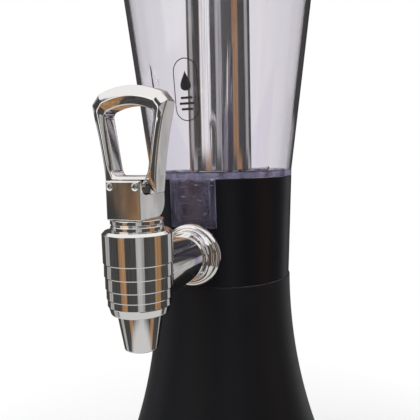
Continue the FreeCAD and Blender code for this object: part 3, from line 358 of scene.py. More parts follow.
    # and polished metal outside doesn't mirror the cup, which stands in the dark of the collar
    path = f.add("ShaderNodeLightPath")
    outside = f.figure("MULTIPLY", f.figure("GREATER_THAN", path.outputs["Glossy Depth"], 0.5),
                       f.figure("LESS_THAN", path.outputs["Transmission Depth"], 0.5))
    faint = f.figure("MAXIMUM", faint, f.figure("MULTIPLY", outside, f.ranged(z, 1.0, 0.0, 0.2500, 0.2510)))
    clear = f.layered(faint, clear, f.add("ShaderNodeBsdfTransparent").outputs[0])
    f.join(clear, f.out.inputs["Surface"])
    depth = f.add("ShaderNodeVolumeAbsorption")
    depth.inputs["Color"].default_value = (0.30, 0.16, 0.66, 1)
    depth.inputs["Density"].default_value = 26.0
    f.join(depth.outputs["Volume"], f.out.inputs["Volume"])
    return f.material


def softRubber():
    f = Finish("softRubber")
    f.tinted(f.noise(90.0, 4.0), (0.018, 0.018, 0.019), (0.03, 0.03, 0.031))
    f.rough(f.ranged(f.noise(200.0, 3.0), 0.6, 0.85))
    f.bumped(f.noise(1800.0, 3.0), 0.25, 0.00008)
    return f.material


def printInk():
    f = Finish("printInk")
    f.tinted(f.noise(400.0, 4.0), (0.012, 0.012, 0.014), (0.03, 0.03, 0.034))
    f.rough(f.ranged(f.noise(700.0, 3.0), 0.35, 0.6))
    # a thin print that the steel tube behind it doesn't mirror
    mirrored = f.add("ShaderNodeMath", operation="GREATER_THAN")
    f.join(f.add("ShaderNodeLightPath").outputs["Glossy Depth"], mirrored.inputs[0])
    mirrored.inputs[1].default_value = 0.5
    either = f.add("ShaderNodeMixShader")
    f.join(mirrored.outputs[0], either.inputs["Fac"])
    f.join(f.shader.outputs[0], either.inputs[1])
    f.join(f.add("ShaderNodeBsdfTransparent").outputs[0], either.inputs[2])
    f.join(either.outputs[0], f.out.inputs["Surface"])
    return f.material


finishes = {
    "collarBlack": satinPlastic("collarBlack", (0.0022, 0.0024, 0.0042), (0.0036, 0.0038, 0.0060), 0.30,
                                0.38, 0.10),
    "skirtBlack": satinPlastic("skirtBlack", (0.0030, 0.0032, 0.0050), (0.0046, 0.0048, 0.0066), 0.40, 0.50,
                               0.16, 0.09),
    "lidBlack": satinPlastic("lidBlack", (0.010, 0.010, 0.011), (0.014, 0.014, 0.015), 0.30, 0.42, 0.12),
    "tapChrome": polishedMetal("tapChrome", (0.90, 0.88, 0.86), (0.94, 0.92, 0.90), 0.02, 0.06, 0.02, None),
    "notchedChrome": notchedChrome(),
    "tubeSteel": polishedMetal("tubeSteel", (0.90, 0.89, 0.88), (0.94, 0.93, 0.92), 0.05, 0.10, 0.03,
                               (1, 1, 0.05)),
    "turnedSteel": polishedMetal("turnedSteel", (0.52, 0.51, 0.50), (0.62, 0.61, 0.60), 0.18, 0.32, 0.08,
                                 (1, 1, 4)),
    "clearPlastic": clearPlastic(),
    "softRubber": softRubber(),
    "printInk": printInk(),
}


def dress(piece, finish, slot, body, *replaced):
    piece.data.materials.clear()
    piece.data.materials.append(finishes[finish])
    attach(piece, body)
    if replaced:
        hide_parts(*replaced)
    return piece


print("base")
skirt = {"foot": 3.0, "lip": 7.0, "radius": 92.0, "waist": 45.8, "wall": 3.0, "deck": 3.0, "opening": 20.0}


def makeSkirt():
    # The flare is an arc, vertical where it meets the collar: r = centre + R cos a, z = seam + R sin a.
    s = skirt
    outside = arcRun((s["radius"], s["lip"]), (s["waist"], seamLevel), "end", 90)[:-2]
    inside = arcRun((s["radius"] - s["wall"], s["lip"]), (s["waist"] - s["wall"], seamLevel - s["deck"]),
                    "end", 60)
    foot = softPath([(s["radius"] - s["wall"], s["foot"], 0.4), (s["radius"], s["foot"], 0.8),
                     (s["radius"], s["lip"] + 9, 0), (s["radius"] - s["wall"], s["lip"] + 9, 0)])[:-2]
    top = softPath([(s["waist"], seamLevel - 9, 0), (s["waist"], seamLevel, 0.7),
                    (s["opening"], seamLevel, 0.4),
                    (s["opening"], seamLevel - s["deck"], 0.4),
                    (s["waist"] - s["wall"], seamLevel - s["deck"], 0)])[1:-1]
    return turned("skirtShell", np.vstack([foot, outside, top, inside[::-1]]))


dress(makeSkirt(), "skirtBlack", "base_black", "tower", "base_skirt")

collar = {"footRadius": 45.1, "rimRadius": 47.3, "top": 245.85, "wall": 2.5, "floor": 5.0, "spigot": 6.0,
          "spigotRadius": 19.8, "spigotWall": 2.5, "notchHalf": 15.25, "notchSole": 216.45, "edge": 0.6,
          "shankHole": 8.3}


def makeCollar():
    c = collar
    profile = softPath([(c["footRadius"], seamLevel, c["edge"]), (c["rimRadius"], c["top"], 0.5),
                        (c["rimRadius"] - c["wall"], c["top"], 0.4),
                        (c["footRadius"] - c["wall"], seamLevel + c["floor"], 1.0),
                        (c["spigotRadius"] - c["spigotWall"], seamLevel + c["floor"], 0.4),
                        (c["spigotRadius"] - c["spigotWall"], seamLevel - c["spigot"], 0.3),
                        (c["spigotRadius"], seamLevel - c["spigot"], 0.3),
                        (c["spigotRadius"], seamLevel, 0.3)])
    shell = turned("collarShell", profile, sharp=28)
    reach = c["rimRadius"] * 2
    notch = softPath([(-c["notchHalf"], c["notchSole"], 0.6), (c["notchHalf"], c["notchSole"], 0.6),
                      (c["notchHalf"], c["top"] + 5, 0), (-c["notchHalf"], c["top"] + 5, 0)])
    cutter = blocks("notchCutter", notch, -reach, 0.0,
                    lambda o, y: np.stack([o[:, 0], 0 * o[:, 0] + y, o[:, 1]], -1))
    shell = combined(shell, cutter, "DIFFERENCE", 28)
    a = np.linspace(0, 2 * math.pi, 48, endpoint=False)
    hole = np.stack([c["shankHole"] * np.cos(a), c["shankHole"] * np.sin(a) + shankLevel], -1)
    cutter = blocks("holeCutter", hole, -reach, 0.0,
                    lambda o, y: np.stack([o[:, 0], 0 * o[:, 0] + y, o[:, 1]], -1))
    return combined(shell, cutter, "DIFFERENCE", 28)


dress(makeCollar(), "collarBlack", "base_black", "tower", "base_collar").visible_glossy = False

print("tank")
tank = {"cupBase": 185.0, "cupFoot": 42.2, "cupTop": 44.4, "wall": 3.0, "floor": 3.0, "shoulder": 249.6,
        "rim": 505.0, "rimRadius": 77.5, "bead": 1.6, "beadHeight": 4.0, "keyHalf": 15.0, "keySole": 216.7,
        "keySill": 5.0, "keySide": 3.5, "keyFront": 3.4, "ribHalf": 1.35, "ribTop": 329.0,
        "ribShoulder": 256.0,
        "seat": 250.0, "seatReach": 16.8, "guide": 21.2}


def outerRadius(level):
    # The tank's outside is a straight taper: shoulder radius + slope * height above the shoulder.
    slope = (tank["rimRadius"] - collar["rimRadius"]) / (tank["rim"] - tank["beadHeight"] - tank["shoulder"])
    return collar["rimRadius"] + slope * (level - tank["shoulder"])


def sideways(outline, y):
    return np.stack([outline[:, 0], 0 * outline[:, 0] + y, outline[:, 1]], -1)


def makeTank():
    t = tank
    top = t["rim"] - t["beadHeight"]
    edge = collar["rimRadius"]
    profile = softPath([
        (0, t["cupBase"], 0), (t["cupFoot"], t["cupBase"], 1.5), (t["cupTop"], collar["top"], 0.3),
        (edge, collar["top"], 0.5), (edge, t["shoulder"], 0.8), (t["rimRadius"], top, 0.5),
        (t["rimRadius"] + t["bead"], top, 0.5), (t["rimRadius"] + t["bead"], t["rim"], 1.2),
        (t["rimRadius"] - t["wall"], t["rim"], 0.8), (t["rimRadius"] - t["wall"], top, 1.0),
        (edge - t["wall"], t["shoulder"], 2.0), (t["cupTop"] - t["wall"], collar["top"], 2.0),
        (t["cupFoot"] - t["wall"], t["cupBase"] + t["floor"], 2.0), (0, t["cupBase"] + t["floor"], 0)])
    shell = turned("clearTank", profile, 256)
    root = math.sqrt((t["cupFoot"] - 1.5) ** 2 - t["keyHalf"] ** 2)
    front = edge - 0.35
    key = softPath([(-t["keyHalf"], t["keySole"], 0.6), (t["keyHalf"], t["keySole"], 0.6),
                    (t["keyHalf"], collar["top"] + 1.9, 0), (-t["keyHalf"], collar["top"] + 1.9, 0)])
    block = blocks("keyBlock", key, -front, -root, sideways)
    trim = turned("keyTrim", np.array([(0, 200.0), (collar["footRadius"] + 31.7 * 0.0334, t["keySole"] - 5),
                                       (edge - 0.03, collar["top"]), (edge - 0.03, t["shoulder"]),
                                       (0, t["shoulder"])]), 256)
    block = combined(block, trim, "INTERSECT")
    shell = combined(shell, block, "UNION")
    hollowHalf = t["keyHalf"] - t["keySide"]
    hollow = softPath([(-hollowHalf, t["keySole"] + t["keySill"], 1.0),
                       (hollowHalf, t["keySole"] + t["keySill"], 1.0),
                       (hollowHalf, collar["top"], 0.8), (-hollowHalf, collar["top"], 0.8)])
    core = blocks("keyCore", hollow, -(collar["footRadius"] + 36.7 * 0.0334 - t["keyFront"]),
                  -(root - t["keySide"]),
                  sideways)
    shell = combined(shell, core, "DIFFERENCE")
    peak = outerRadius(t["ribTop"]) - 1.5
    rib = np.array([(peak, t["ribTop"]), (t["guide"], t["ribShoulder"]), (t["guide"], t["seat"]),
                    (t["seatReach"], t["seat"]), (t["seatReach"], t["cupBase"] + 1.5),
                    (t["cupFoot"] - 2.0, t["cupBase"] + 1.5), (t["cupFoot"] - 1.5, t["cupBase"] + 5.0),
                    (t["cupTop"] - 1.5, collar["top"]), (edge - 1.5, t["shoulder"])])
    # the rib behind stands a hair clear of the wall
    clear = np.vstack([rib[:1] - [t["wall"] - 1.05, 0], rib[1:],
                       [(edge - t["wall"] - 0.45, t["shoulder"] + 1.5)]])
    for angle, shape in ((60, clear), (180, rib), (300, rib)):
        turn = Matrix.Rotation(math.radians(angle), 3, "Z")

        def stand(outline, side):
            flat = np.stack([outline[:, 0], 0 * outline[:, 0] + side, outline[:, 1]], -1)
            return flat @ np.array(turn).T

        fin = blocks("fin", shape, -t["ribHalf"], t["ribHalf"], stand)
        shell = combined(shell, fin, "UNION")
    a = np.linspace(0, 2 * math.pi, 48, endpoint=False)
    hole = np.stack([collar["shankHole"] * np.cos(a), collar["shankHole"] * np.sin(a) + shankLevel], -1)
    return combined(shell, blocks("holeCutter", hole, -90.0, 0.0, sideways), "DIFFERENCE", 34)


dress(makeTank(), "clearPlastic", "tank_clear", "tower", "tank")

print("print on the tank")
badge = {"azimuth": 1.8, "middle": 297.5, "halfWidth": 7.3, "halfHeight": 17.3, "line": 0.55, "ink": 0.05,
         "drop": (0.0, 5.2, 4.2), "bars": ((-4.4, 3.6), (-7.6, 4.6), (-10.8, 3.6)), "barLine": 1.3}


def onWall(points, azimuth, ink):
    # Wraps flat (across, height above the table, lift) points round the tank's cone. The angle is the
    # distance across over the radius there, from the azimuth, and the lift stands off the surface.
    across, level, lift = points[..., 0], points[..., 1], points[..., 2]
    r = outerRadius(level)
    a = math.radians(azimuth - 90) + across / r
    r = r + 0.004 + lift * ink
    return np.stack([r * np.cos(a), r * np.sin(a), level], -1)


def stroke(path, width, closed=False):
    # A flat line as a thin ribbon: both edges lie half the width off the path along its normal.
    path = np.asarray(path, float)
    if closed:
        along = np.roll(path, -1, 0) - np.roll(path, 1, 0)
    else:
        along = np.gradient(path, axis=0)
    normal = np.stack([-along[:, 1], along[:, 0]], -1) / np.linalg.norm(along, axis=1)[:, None]
    sides = [path - normal * width / 2, path + normal * width / 2]
    rows = [np.column_stack([sides[i], np.full(len(path), lift)]) for i,
            lift in ((0, 0), (1, 0), (1, 1), (0, 1))]
    return np.stack(rows), closed


def joined(parts):
    # Grids of the same kind, put one after another as one set of points and faces.
    points, faces, count = [], [], 0
    for grid, closed in parts:
        rows, columns = grid.shape[:2]
        own = gridFaces(rows, columns, True, closed) + count
        faces += own.tolist()
        if not closed:
            first = count + np.arange(rows) * columns
            faces += [first.tolist(), (first + columns - 1).tolist()]
        points.append(grid.reshape(-1, 3))
        count += rows * columns
    return np.vstack(points), faces


def makeBadge():
    # A pill-shaped outline with a drop over three level bars. The drop is a circle drawn up to a point:
    # half width = size sin t (1 + cos t) / 2, height = size cos t, filled by strokes side by side.
    b = badge
    t = np.linspace(0, 2 * math.pi, 97)[:-1]
    straight = b["halfHeight"] - b["halfWidth"]
    pill = np.stack([b["halfWidth"] * np.cos(t),
                     b["halfWidth"] * np.sin(t) + straight * np.sign(np.sin(t))], -1)
    parts = [stroke(pill, b["line"], True)]
    x, y, size = b["drop"]
    t = np.linspace(0, 2 * math.pi, 65)[:-1]
    edge = np.stack([x - size * 0.78 * np.sin(t) * (1 - np.cos(t)) / 1.3, y + size * 1.35 * np.cos(t)], -1)
    middle = np.stack([0 * t + x, 0.55 * (edge[:, 1] - y) + y - size * 0.3], -1)
    rows = [np.column_stack([line, np.full(len(t), lift)]) for line, lift in
            ((middle, 0), (edge, 0), (edge, 1), (middle, 1))]
    parts.append((np.stack(rows), True))
    for level, reach in b["bars"]:
        parts.append(stroke([(-reach, level), (-reach / 2, level), (0, level), (reach / 2, level),
                             (reach, level)],
                            b["barLine"]))
    points, faces = joined(parts)
    points = points + np.array([0, b["middle"], 0])
    return makePiece("printedBadge", onWall(points, b["azimuth"], b["ink"]), faces)


dress(makeBadge(), "printInk", None, "tower")

scale = {"azimuth": 97.0, "litres": (0.5, 1.0, 1.5, 2.0, 2.5), "long": 7.0, "short": 3.5, "line": 0.5,
         "height": 5.0,
         "gap": 2.0, "ink": 0.05}


def fillLevels():
    # Height of each mark: the cup's and cone's inside, less the ice tube, summed upward in thin slices.
    level = np.linspace(tank["cupBase"] + tank["floor"], tank["rim"], 2000)
    inside = np.where(level < tank["shoulder"],
                      np.interp(level, [tank["cupBase"], collar["top"]], [tank["cupFoot"], tank["cupTop"]]),
                      outerRadius(level)) - tank["wall"]
    area = math.pi * (inside ** 2 - np.where(level > tube["foot"], tube["radius"] ** 2, 0))
    litres = np.cumsum(area) * (level[1] - level[0]) / 1e6
    return np.interp(np.array([0.25 * k for k in range(1, 12)]), litres, level)


def makeScale():
    c = scale
    parts = []
    levels = fillLevels()
    for k, level in enumerate(levels, start=1):
        reach = c["long"] if k % 2 == 0 else c["short"]
        parts.append(stroke([(0, level), (reach / 2, level), (reach, level)], c["line"]))
    spine = np.stack([0 * levels, levels], -1)
    points, faces = joined(parts + [stroke(spine, c["line"])])
    ticks = makePiece("scaleMarks", onWall(points, c["azimuth"], c["ink"]), faces)
    work = bmesh.new()
    work.from_mesh(ticks.data)
    for litres in c["litres"]:
        words = bpy.data.curves.new("words", "FONT")
        words.body, words.size, words.extrude = "%.1f" % litres, c["height"], 0.5
        words.align_y = "CENTER"
        text = bpy.data.objects.new("words", words)
        flat = text.to_mesh()
        place = np.empty(len(flat.vertices) * 3)
        flat.vertices.foreach_get("co", place)
        place = place.reshape(-1, 3) + np.array([c["long"] + c["gap"], levels[int(litres * 4) - 1], 0.5])
        flat.vertices.foreach_set("co", (onWall(place, c["azimuth"], c["ink"]) * mm).ravel())
        work.from_mesh(flat)
        text.to_mesh_clear()
    bmesh.ops.remove_doubles(work, verts=work.verts, dist=1e-7)
    bmesh.ops.recalc_face_normals(work, faces=work.faces)
    work.to_mesh(ticks.data)
    work.free()
    return ticks


print("ice tube and lid")
tube = {"radius": 20.8, "wall": 1.0, "foot": 250.0, "top": 518.0}
tubeProfile = softPath([(tube["radius"] - tube["wall"], tube["foot"], 0.2),
                        (tube["radius"], tube["foot"], 0.3),
                        (tube["radius"], tube["top"], 0.3),
                        (tube["radius"] - tube["wall"], tube["top"], 0.2)])
dress(turned("iceTube", tubeProfile, 256), "tubeSteel", "tube_steel", "ice_tube", "ice_tube")
dress(makeScale(), "printInk", None, "tower")

lid = {"edge": 81.3, "crown": 514.0, "hole": 21.3, "collarWall": 2.5, "top": 518.0, "shoulder": 508.0,
       "skirtFoot": 498.0, "plug": 74.0, "plugFoot": 72.83, "plugDepth": 495.0, "wall": 2.5}


def makeLid():
    # A shallow dome: its height falls with the square of the radius, from the crown to the shoulder.
    s = lid
    rim = 505.0
    r = np.linspace(s["hole"] + s["collarWall"] + 1.2, s["edge"] - 2.0, 40)
    share = (r - r[0]) / (r[-1] - r[0])
    dome = np.stack([r, s["crown"] - (s["crown"] - s["shoulder"]) * share ** 2], -1)
    under = dome[::-1] - np.array([0, 3.0])
    under = under[(under[:, 0] < s["plug"] - 4) & (under[:, 0] > s["hole"] + 2)]
    outer = softPath([(dome[-1][0], dome[-1][1], 0), (s["edge"], s["shoulder"] - 1.2, 0.9),
                      (s["edge"], s["skirtFoot"], 0.5),
                      (s["edge"] - 1.5, s["skirtFoot"], 0.4), (s["edge"] - 1.5, rim, 0.4),
                      (s["plug"], rim, 0.3),
                      (s["plugFoot"], s["plugDepth"], 0.6), (s["plugFoot"] - s["wall"], s["plugDepth"], 0.6),
                      (s["plug"] - s["wall"], rim, 1.0), (60, rim, 0), (60, 512, 0)])[:-2]
    collarTop = softPath([(s["hole"], 500, 0), (s["hole"], s["top"], 0.6),
                          (s["hole"] + s["collarWall"], s["top"], 0.8),
                          (s["hole"] + s["collarWall"], s["crown"], 0), (40, s["crown"], 0)])[1:-1]
    inner = np.array([(s["hole"] + 2.5, 511.0), (s["hole"], 511.0)])
    return turned("lidShell", np.vstack([collarTop, dome, outer, under, inner]))


dress(makeLid(), "lidBlack", "lid_black", "lid", "lid")

cap = {"radius": 25.5, "foot": 518.0, "top": 521.0, "knob": 11.0, "waist": 8.5, "knobTop": 533.0,
       "plug": 19.4,
       "plugDepth": 506.0, "plugWall": 2.0}
capProfile = softPath([
    (0, cap["foot"], 0), (cap["plug"] - cap["plugWall"], cap["foot"], 0.5),
    (cap["plug"] - cap["plugWall"], cap["plugDepth"], 0.4), (cap["plug"], cap["plugDepth"], 0.6),
    (cap["plug"], cap["foot"], 0.3), (cap["radius"], cap["foot"], 0.4), (cap["radius"], cap["top"], 1.2),
    (cap["knob"] + 1.5, cap["top"], 2.0), (cap["waist"], cap["top"] + 4.5, 2.0),
    (cap["knob"], cap["knobTop"] - 4, 2.5),
    (cap["knob"], cap["knobTop"], 1.4), (0, cap["knobTop"] - 0.8, 0)])
dress(turned("tubeCap", capProfile, 160), "lidBlack", "lid_black", "ice_cap", "ice_tube_cap")

print("tap")
barrel = {"top": 44.4, "topRadius": 17.5, "chamfer": 1.4, "bottom": 3.0, "bottomRadius": 14.4, "step": 0.45,
          "nick": 0.5,
          "tiers": ((7.4, 15.9), (11.2, 16.3), (16.2, 16.7), (22.4, 17.1), (28.9, 17.4)),
          "chamber": 10.5, "chamberFloor": 10.0, "seat": 5.5, "socket": 8.0, "socketTop": 7.5}
branch = {"rootRadius": 15.2, "endRadius": 13.3, "end": 51.5, "thread": 8.0, "threadEnd": 28.0, "inlet": 5.5,
          "pitch": 1.5, "threadDepth": 0.55}


def makeBarrel():
    b = barrel
    corners = [(b["bottomRadius"], b["bottom"], 0.9)]
    for level, radius in b["tiers"]:
        corners += [(radius - b["step"], level - b["nick"], 0.16), (radius, level, 0.14)]
    corners += [(b["topRadius"], b["top"] - b["chamfer"], 0.25),
                (b["topRadius"] - b["chamfer"], b["top"], 0.25),
                (b["chamber"], b["top"], 0.3), (b["chamber"], b["chamberFloor"], 0.5),
                (b["seat"] + 1.5, b["chamberFloor"], 0), (b["seat"] + 1.5, b["chamberFloor"] + 1, 0.3),
                (b["seat"], b["chamberFloor"] + 1, 0.3), (b["seat"], b["socketTop"], 0),
                (b["socket"], b["socketTop"], 0.2),
                (b["socket"], b["bottom"], 0.2)]
    return turned("barrelPart", softPath(corners), 256, "tap")


def makeBranch():
    # Each line along the branch starts on the barrel, where x^2 + (y + reach)^2 = R(z)^2, and runs
    # back to the shoulder, the threaded shank and its bore. The radius tapers evenly.
    b = branch
    a = np.linspace(0, 2 * math.pi, 160, endpoint=False)
    levels = [barrel["bottom"]] + [t[0] for t in barrel["tiers"]] + [barrel["top"]]
    radii = [barrel["bottomRadius"]] + [t[1] for t in barrel["tiers"]] + [barrel["topRadius"]]

    def radiusAt(y):
        return b["rootRadius"] + (b["endRadius"] - b["rootRadius"]) * (y + tapReach) / (tapReach - b["end"])

    start = np.full(a.shape, -tapReach + 6.0)
    for _ in range(4):
        r = radiusAt(start)
        level = np.interp(shankLevel - seamLevel + r * np.sin(a), levels, radii) - 0.4
        start = -tapReach + np.sqrt(np.maximum(level ** 2 - (r * np.cos(a)) ** 2, 1.0))
    share = np.linspace(0, 1, 30)[:, None]
    y = start + share * (-b["end"] - 0.4 - start)
    shank = [(b["endRadius"] - 0.3, b["end"] + 0.1), (b["endRadius"] - 0.6, b["end"]),
             (b["thread"] + 0.5, b["end"])]
    turns = np.arange(b["end"] - 2.0, b["threadEnd"] + 1.0, -b["pitch"])
    crests = np.stack([turns * 0 + b["thread"], turns], -1)
    roots = np.stack([turns * 0 + b["thread"] - b["threadDepth"], turns - b["pitch"] / 2], -1)
    shank += np.stack([crests, roots], 1).reshape(-1, 2).tolist()
    shank += [(b["thread"] - 0.8, b["threadEnd"]), (b["inlet"], b["threadEnd"])]
    shank = np.array(shank)
    rows = [np.stack([radiusAt(y) * np.cos(a), y, shankLevel + radiusAt(y) * np.sin(a)], -1),
            turnedPoints(shank, len(a), "shank")]
    boreEnd = np.stack([b["inlet"] * np.cos(a), 0 * a - tapReach + 12.0,
                        shankLevel + b["inlet"] * np.sin(a)], -1)
    points = np.concatenate(rows + [boreEnd[None]])
    return makePiece("branchPart", points, gridFaces(len(points), len(a), True, True), 32)


dress(combined(makeBarrel(), makeBranch(), "UNION", 30), "tapChrome", "tap_chrome", "tower",
      "tap_body").name = "tapBody"

spout = {"tip": -15.9, "tipRadius": 8.4, "topRadius": 11.6, "top": 3.0, "wall": 2.0, "edge": 0.9}
spoutProfile = softPath([
    (spout["tipRadius"], spout["tip"], 0.9), (spout["topRadius"], spout["top"], 0.1),
    (barrel["socket"], spout["top"], 0),
    (barrel["socket"], barrel["socketTop"], 0.1), (barrel["seat"], barrel["socketTop"], 0.1),
    (barrel["seat"], spout["top"], 0), (spout["tipRadius"] - spout["wall"], spout["tip"], 0.5)])
dress(turned("spoutCone", spoutProfile, 160, "tap"), "tapChrome", "tap_chrome", "tower", "spout")

flange = {"back": 46.9, "front": 48.5, "radius": 18.83, "round": 2.2, "stepRadius": 16.4, "step": 0.8,
          "nose": 56.5,
          "noseRadius": 14.5, "bore": 13.4, "hole": 8.3}


def makeFlange():
    f = flange
    shoulder = f["front"] + f["round"]
    t = np.linspace(0, math.pi / 2, 10)
    dome = np.stack([f["radius"] - f["round"] * (1 - np.cos(t)), f["front"] + f["round"] * np.sin(t)], -1)
    t = np.linspace(0.15, math.pi / 2, 12)
    coveDepth, coveWidth = f["nose"] - shoulder - f["step"], f["stepRadius"] - f["noseRadius"]
    cove = np.stack([f["stepRadius"] - coveWidth * np.sin(t),
                     shoulder + f["step"] + coveDepth * (1 - np.cos(t))], -1)
    profile = np.vstack([[(f["hole"], f["back"]), (f["radius"] - 0.3, f["back"]),
                          (f["radius"], f["back"] + 0.3)], dome,
                         [(f["stepRadius"] + 0.05, shoulder), (f["stepRadius"], shoulder + 0.1)], cove,
                         [(f["noseRadius"] - 0.2, f["nose"] + 0.15), (f["bore"] + 0.1, f["nose"] + 0.15),
                          (f["bore"], f["nose"]), (f["bore"], branch["end"]), (f["hole"], branch["end"])]])
    return turned("wallRosette", profile, 192, "shank")


dress(makeFlange(), "tapChrome", "tap_chrome", "tower", "wall_flange")

bonnet = {"radius": 13.2, "foot": 44.4, "top": 49.9, "groove": 0.7, "bore": 2.58, "spigot": 10.4,
          "spigotFoot": 36.4}
half = (bonnet["foot"] + bonnet["top"]) / 2
bonnetProfile = softPath([
    (bonnet["bore"], bonnet["spigotFoot"] + 2.4, 0), (4.6, bonnet["spigotFoot"] + 2.4, 0),
    (4.6, bonnet["spigotFoot"], 0),
    (bonnet["spigot"], bonnet["spigotFoot"], 0.2), (bonnet["spigot"], bonnet["foot"], 0),
    (bonnet["radius"], bonnet["foot"], 0.2),
    (bonnet["radius"], half - bonnet["groove"], 0.25), (bonnet["radius"] - bonnet["groove"], half, 0.2),
    (bonnet["radius"], half + bonnet["groove"], 0.25), (bonnet["radius"], bonnet["top"], 0.45),
    (bonnet["bore"], bonnet["top"], 0)])
dress(turned("bonnetDisc", bonnetProfile, 192, "tap"), "tapChrome", "tap_chrome", "tower", "tap_bonnet")

head = {"foot": 50.1, "top": 69.0, "halfWidth": 9.35, "halfDepth": 12.0, "heel": 8.0, "notchFront": 9.3,
        "notchBack": 6.5,
        "notchFloor": 62.2, "notchRound": 3.5, "corner": 0.85, "edge": 0.6, "cavityHalf": 6.35,
        "cavityDepth": 9.0, "cavityTop": 58.8,
        "screwSpread": 7.0, "screwLevel": 66.2, "sink": 1.35, "sinkMouth": 1.98, "sinkSlope": 0.44,
        "sinkDepth": 1.6}


def makeHead():
    # The side outline carried across the head. Towards each cheek it closes by edge * (1 - cos t)
    # along its own normal while x goes on by edge * sin t, which rounds the cheek's edge.
    h = head
    outline = softPath([(-h["halfDepth"], h["foot"], h["corner"]), (h["halfDepth"], h["foot"], h["heel"]),
                        (h["halfDepth"], h["top"], h["corner"]), (h["notchBack"], h["top"], h["corner"]),
                        (h["notchBack"], h["notchFloor"], h["notchRound"]),
                        (-h["notchFront"], h["notchFloor"], h["notchRound"]),
                        (-h["notchFront"], h["top"], h["corner"]),
                        (-h["halfDepth"], h["top"], h["corner"])], 8)
    along = np.roll(outline, -1, 0) - np.roll(outline, 1, 0)
    inward = np.stack([-along[:, 1], along[:, 0]], -1) / np.linalg.norm(along, axis=1)[:, None]
    t = np.linspace(0, math.pi / 2, 8)
    t = np.concatenate([-t[::-1], t])
    side = np.sign(t) * (h["halfWidth"] - h["edge"]) + h["edge"] * np.sin(t)
    side[len(t) // 2 - 1], side[len(t) // 2] = -(h["halfWidth"] - h["edge"]), h["halfWidth"] - h["edge"]
    close = h["edge"] * (1 - np.cos(t))
    rows = outline[None] + inward[None] * close[:, None, None]
    points = np.stack([side[:, None] + 0 * rows[..., 0], rows[..., 0] - tapReach, rows[..., 1] + seamLevel],
                      -1)
    count = len(outline)
    last = (len(t) - 1) * count
    faces = gridFaces(len(t), count, False, True).tolist() + [list(range(count)),
                                                              list(range(last, last + count))]
    piece = makePiece("headBlock", points, faces)
    cavity = np.array([(-h["cavityHalf"], h["foot"] - 5), (h["cavityHalf"], h["foot"] - 5),
                       (h["cavityHalf"], h["cavityTop"]), (-h["cavityHalf"], h["cavityTop"])])
    cutter = blocks("cavityCutter", cavity, -h["cavityDepth"], h["cavityDepth"],
                    lambda o, y: np.stack([o[:, 0], 0 * o[:, 0] + y - tapReach, o[:, 1] + seamLevel], -1))
    piece = combined(piece, cutter, "DIFFERENCE")
    slot = np.array([(-1.8, 52.8), (4.4, 52.8), (4.4, 56.4), (-1.8, 56.4)])
    cutter = blocks("slotCutter", slot, -8.15, 8.15,
                    lambda o, x: np.stack([0 * o[:, 0] + x, o[:, 0] - tapReach, o[:, 1] + seamLevel], -1))
    piece = combined(piece, cutter, "DIFFERENCE")
    for side in (-1, 1):
        profile = [(0, -1.0), (h["sinkMouth"] + 0.35, -1.0), (h["sinkMouth"], 0.0),
                   (h["sink"], h["sinkSlope"]),
                   (h["sink"], h["sinkDepth"]), (0, h["sinkDepth"])]
        piece = combined(piece, onHead("sinkCutter", profile, side), "DIFFERENCE", 19)
    even = piece.modifiers.new("evenFaces", "WEIGHTED_NORMAL")
    even.keep_sharp = True
    return piece


def onHead(name, profile, side):
    # A profile of (radius, depth) turned about a screw's axis, with depths from the head's front face.
    points = turnedPoints(np.array(profile, float), 40)
    points = np.stack([points[..., 0] + side * head["screwSpread"],
                       points[..., 2] - tapReach - head["halfDepth"],
                       points[..., 1] + seamLevel + head["screwLevel"]], -1)
    return makePiece(name, points, gridFaces(len(profile), 40, True, True))


dress(makeHead(), "notchedChrome", "tap_chrome", "lever", "tap_head")

screw = {"radius": 1.25, "crown": 0.75, "rim": 1.2, "socket": 0.6, "socketDepth": 1.3, "shank": 1.0,
         "end": 10.0}


def makeScrew(side):
    # Low round head with a small socket, and a plain shank.
    c = screw
    return onHead("headScrew", softPath([
        (0, c["socketDepth"], 0), (c["socket"], c["socketDepth"], 0.05), (c["socket"], c["crown"], 0.08),
        (c["radius"], c["rim"] - 0.2, 0.3), (c["radius"], 1.6, 0.05), (c["shank"], 1.6, 0.05),
        (c["shank"], c["end"], 0.1), (0, c["end"], 0)], 3), side)


dress(combined(makeScrew(-1), makeScrew(1), "UNION"), "turnedSteel", "screw_steel", "lever", "handle_screws")

handle = {"depth": 12.0, "foot": 62.2, "footHalf": 13.6, "hip": 71.0, "hipHalf": 14.2, "mid": 92.0,
          "midHalf": 17.4,
          "shoulder": 105.5, "shoulderHalf": 20.9, "corner": 110.3, "cornerHalf": 17.0, "top": 113.7,
          "sill": 71.0,
          "sillHalf": 9.5, "loopShoulder": 101.0, "loopHalf": 14.0, "loopTop": 104.3, "ridge": 0.54,
          "footRidge": 0.82,
          "limbBevel": 0.8, "crownBevel": 2.0, "crownFoot": 99.0, "innerBevel": 1.42, "sole": 3.0,
          "edge": 0.75,
          "swell": 0.028}


def archRun(half, spring, crown, count):
    # Circle through both springing points and the crown: R = (half^2 + rise^2) / (2 rise).
    rise = crown - spring
    radius = (half ** 2 + rise ** 2) / (2 * rise)
    a = np.linspace(math.asin(half / radius), 0, count)
    return np.stack([radius * np.sin(a), crown - radius + radius * np.cos(a)], -1)


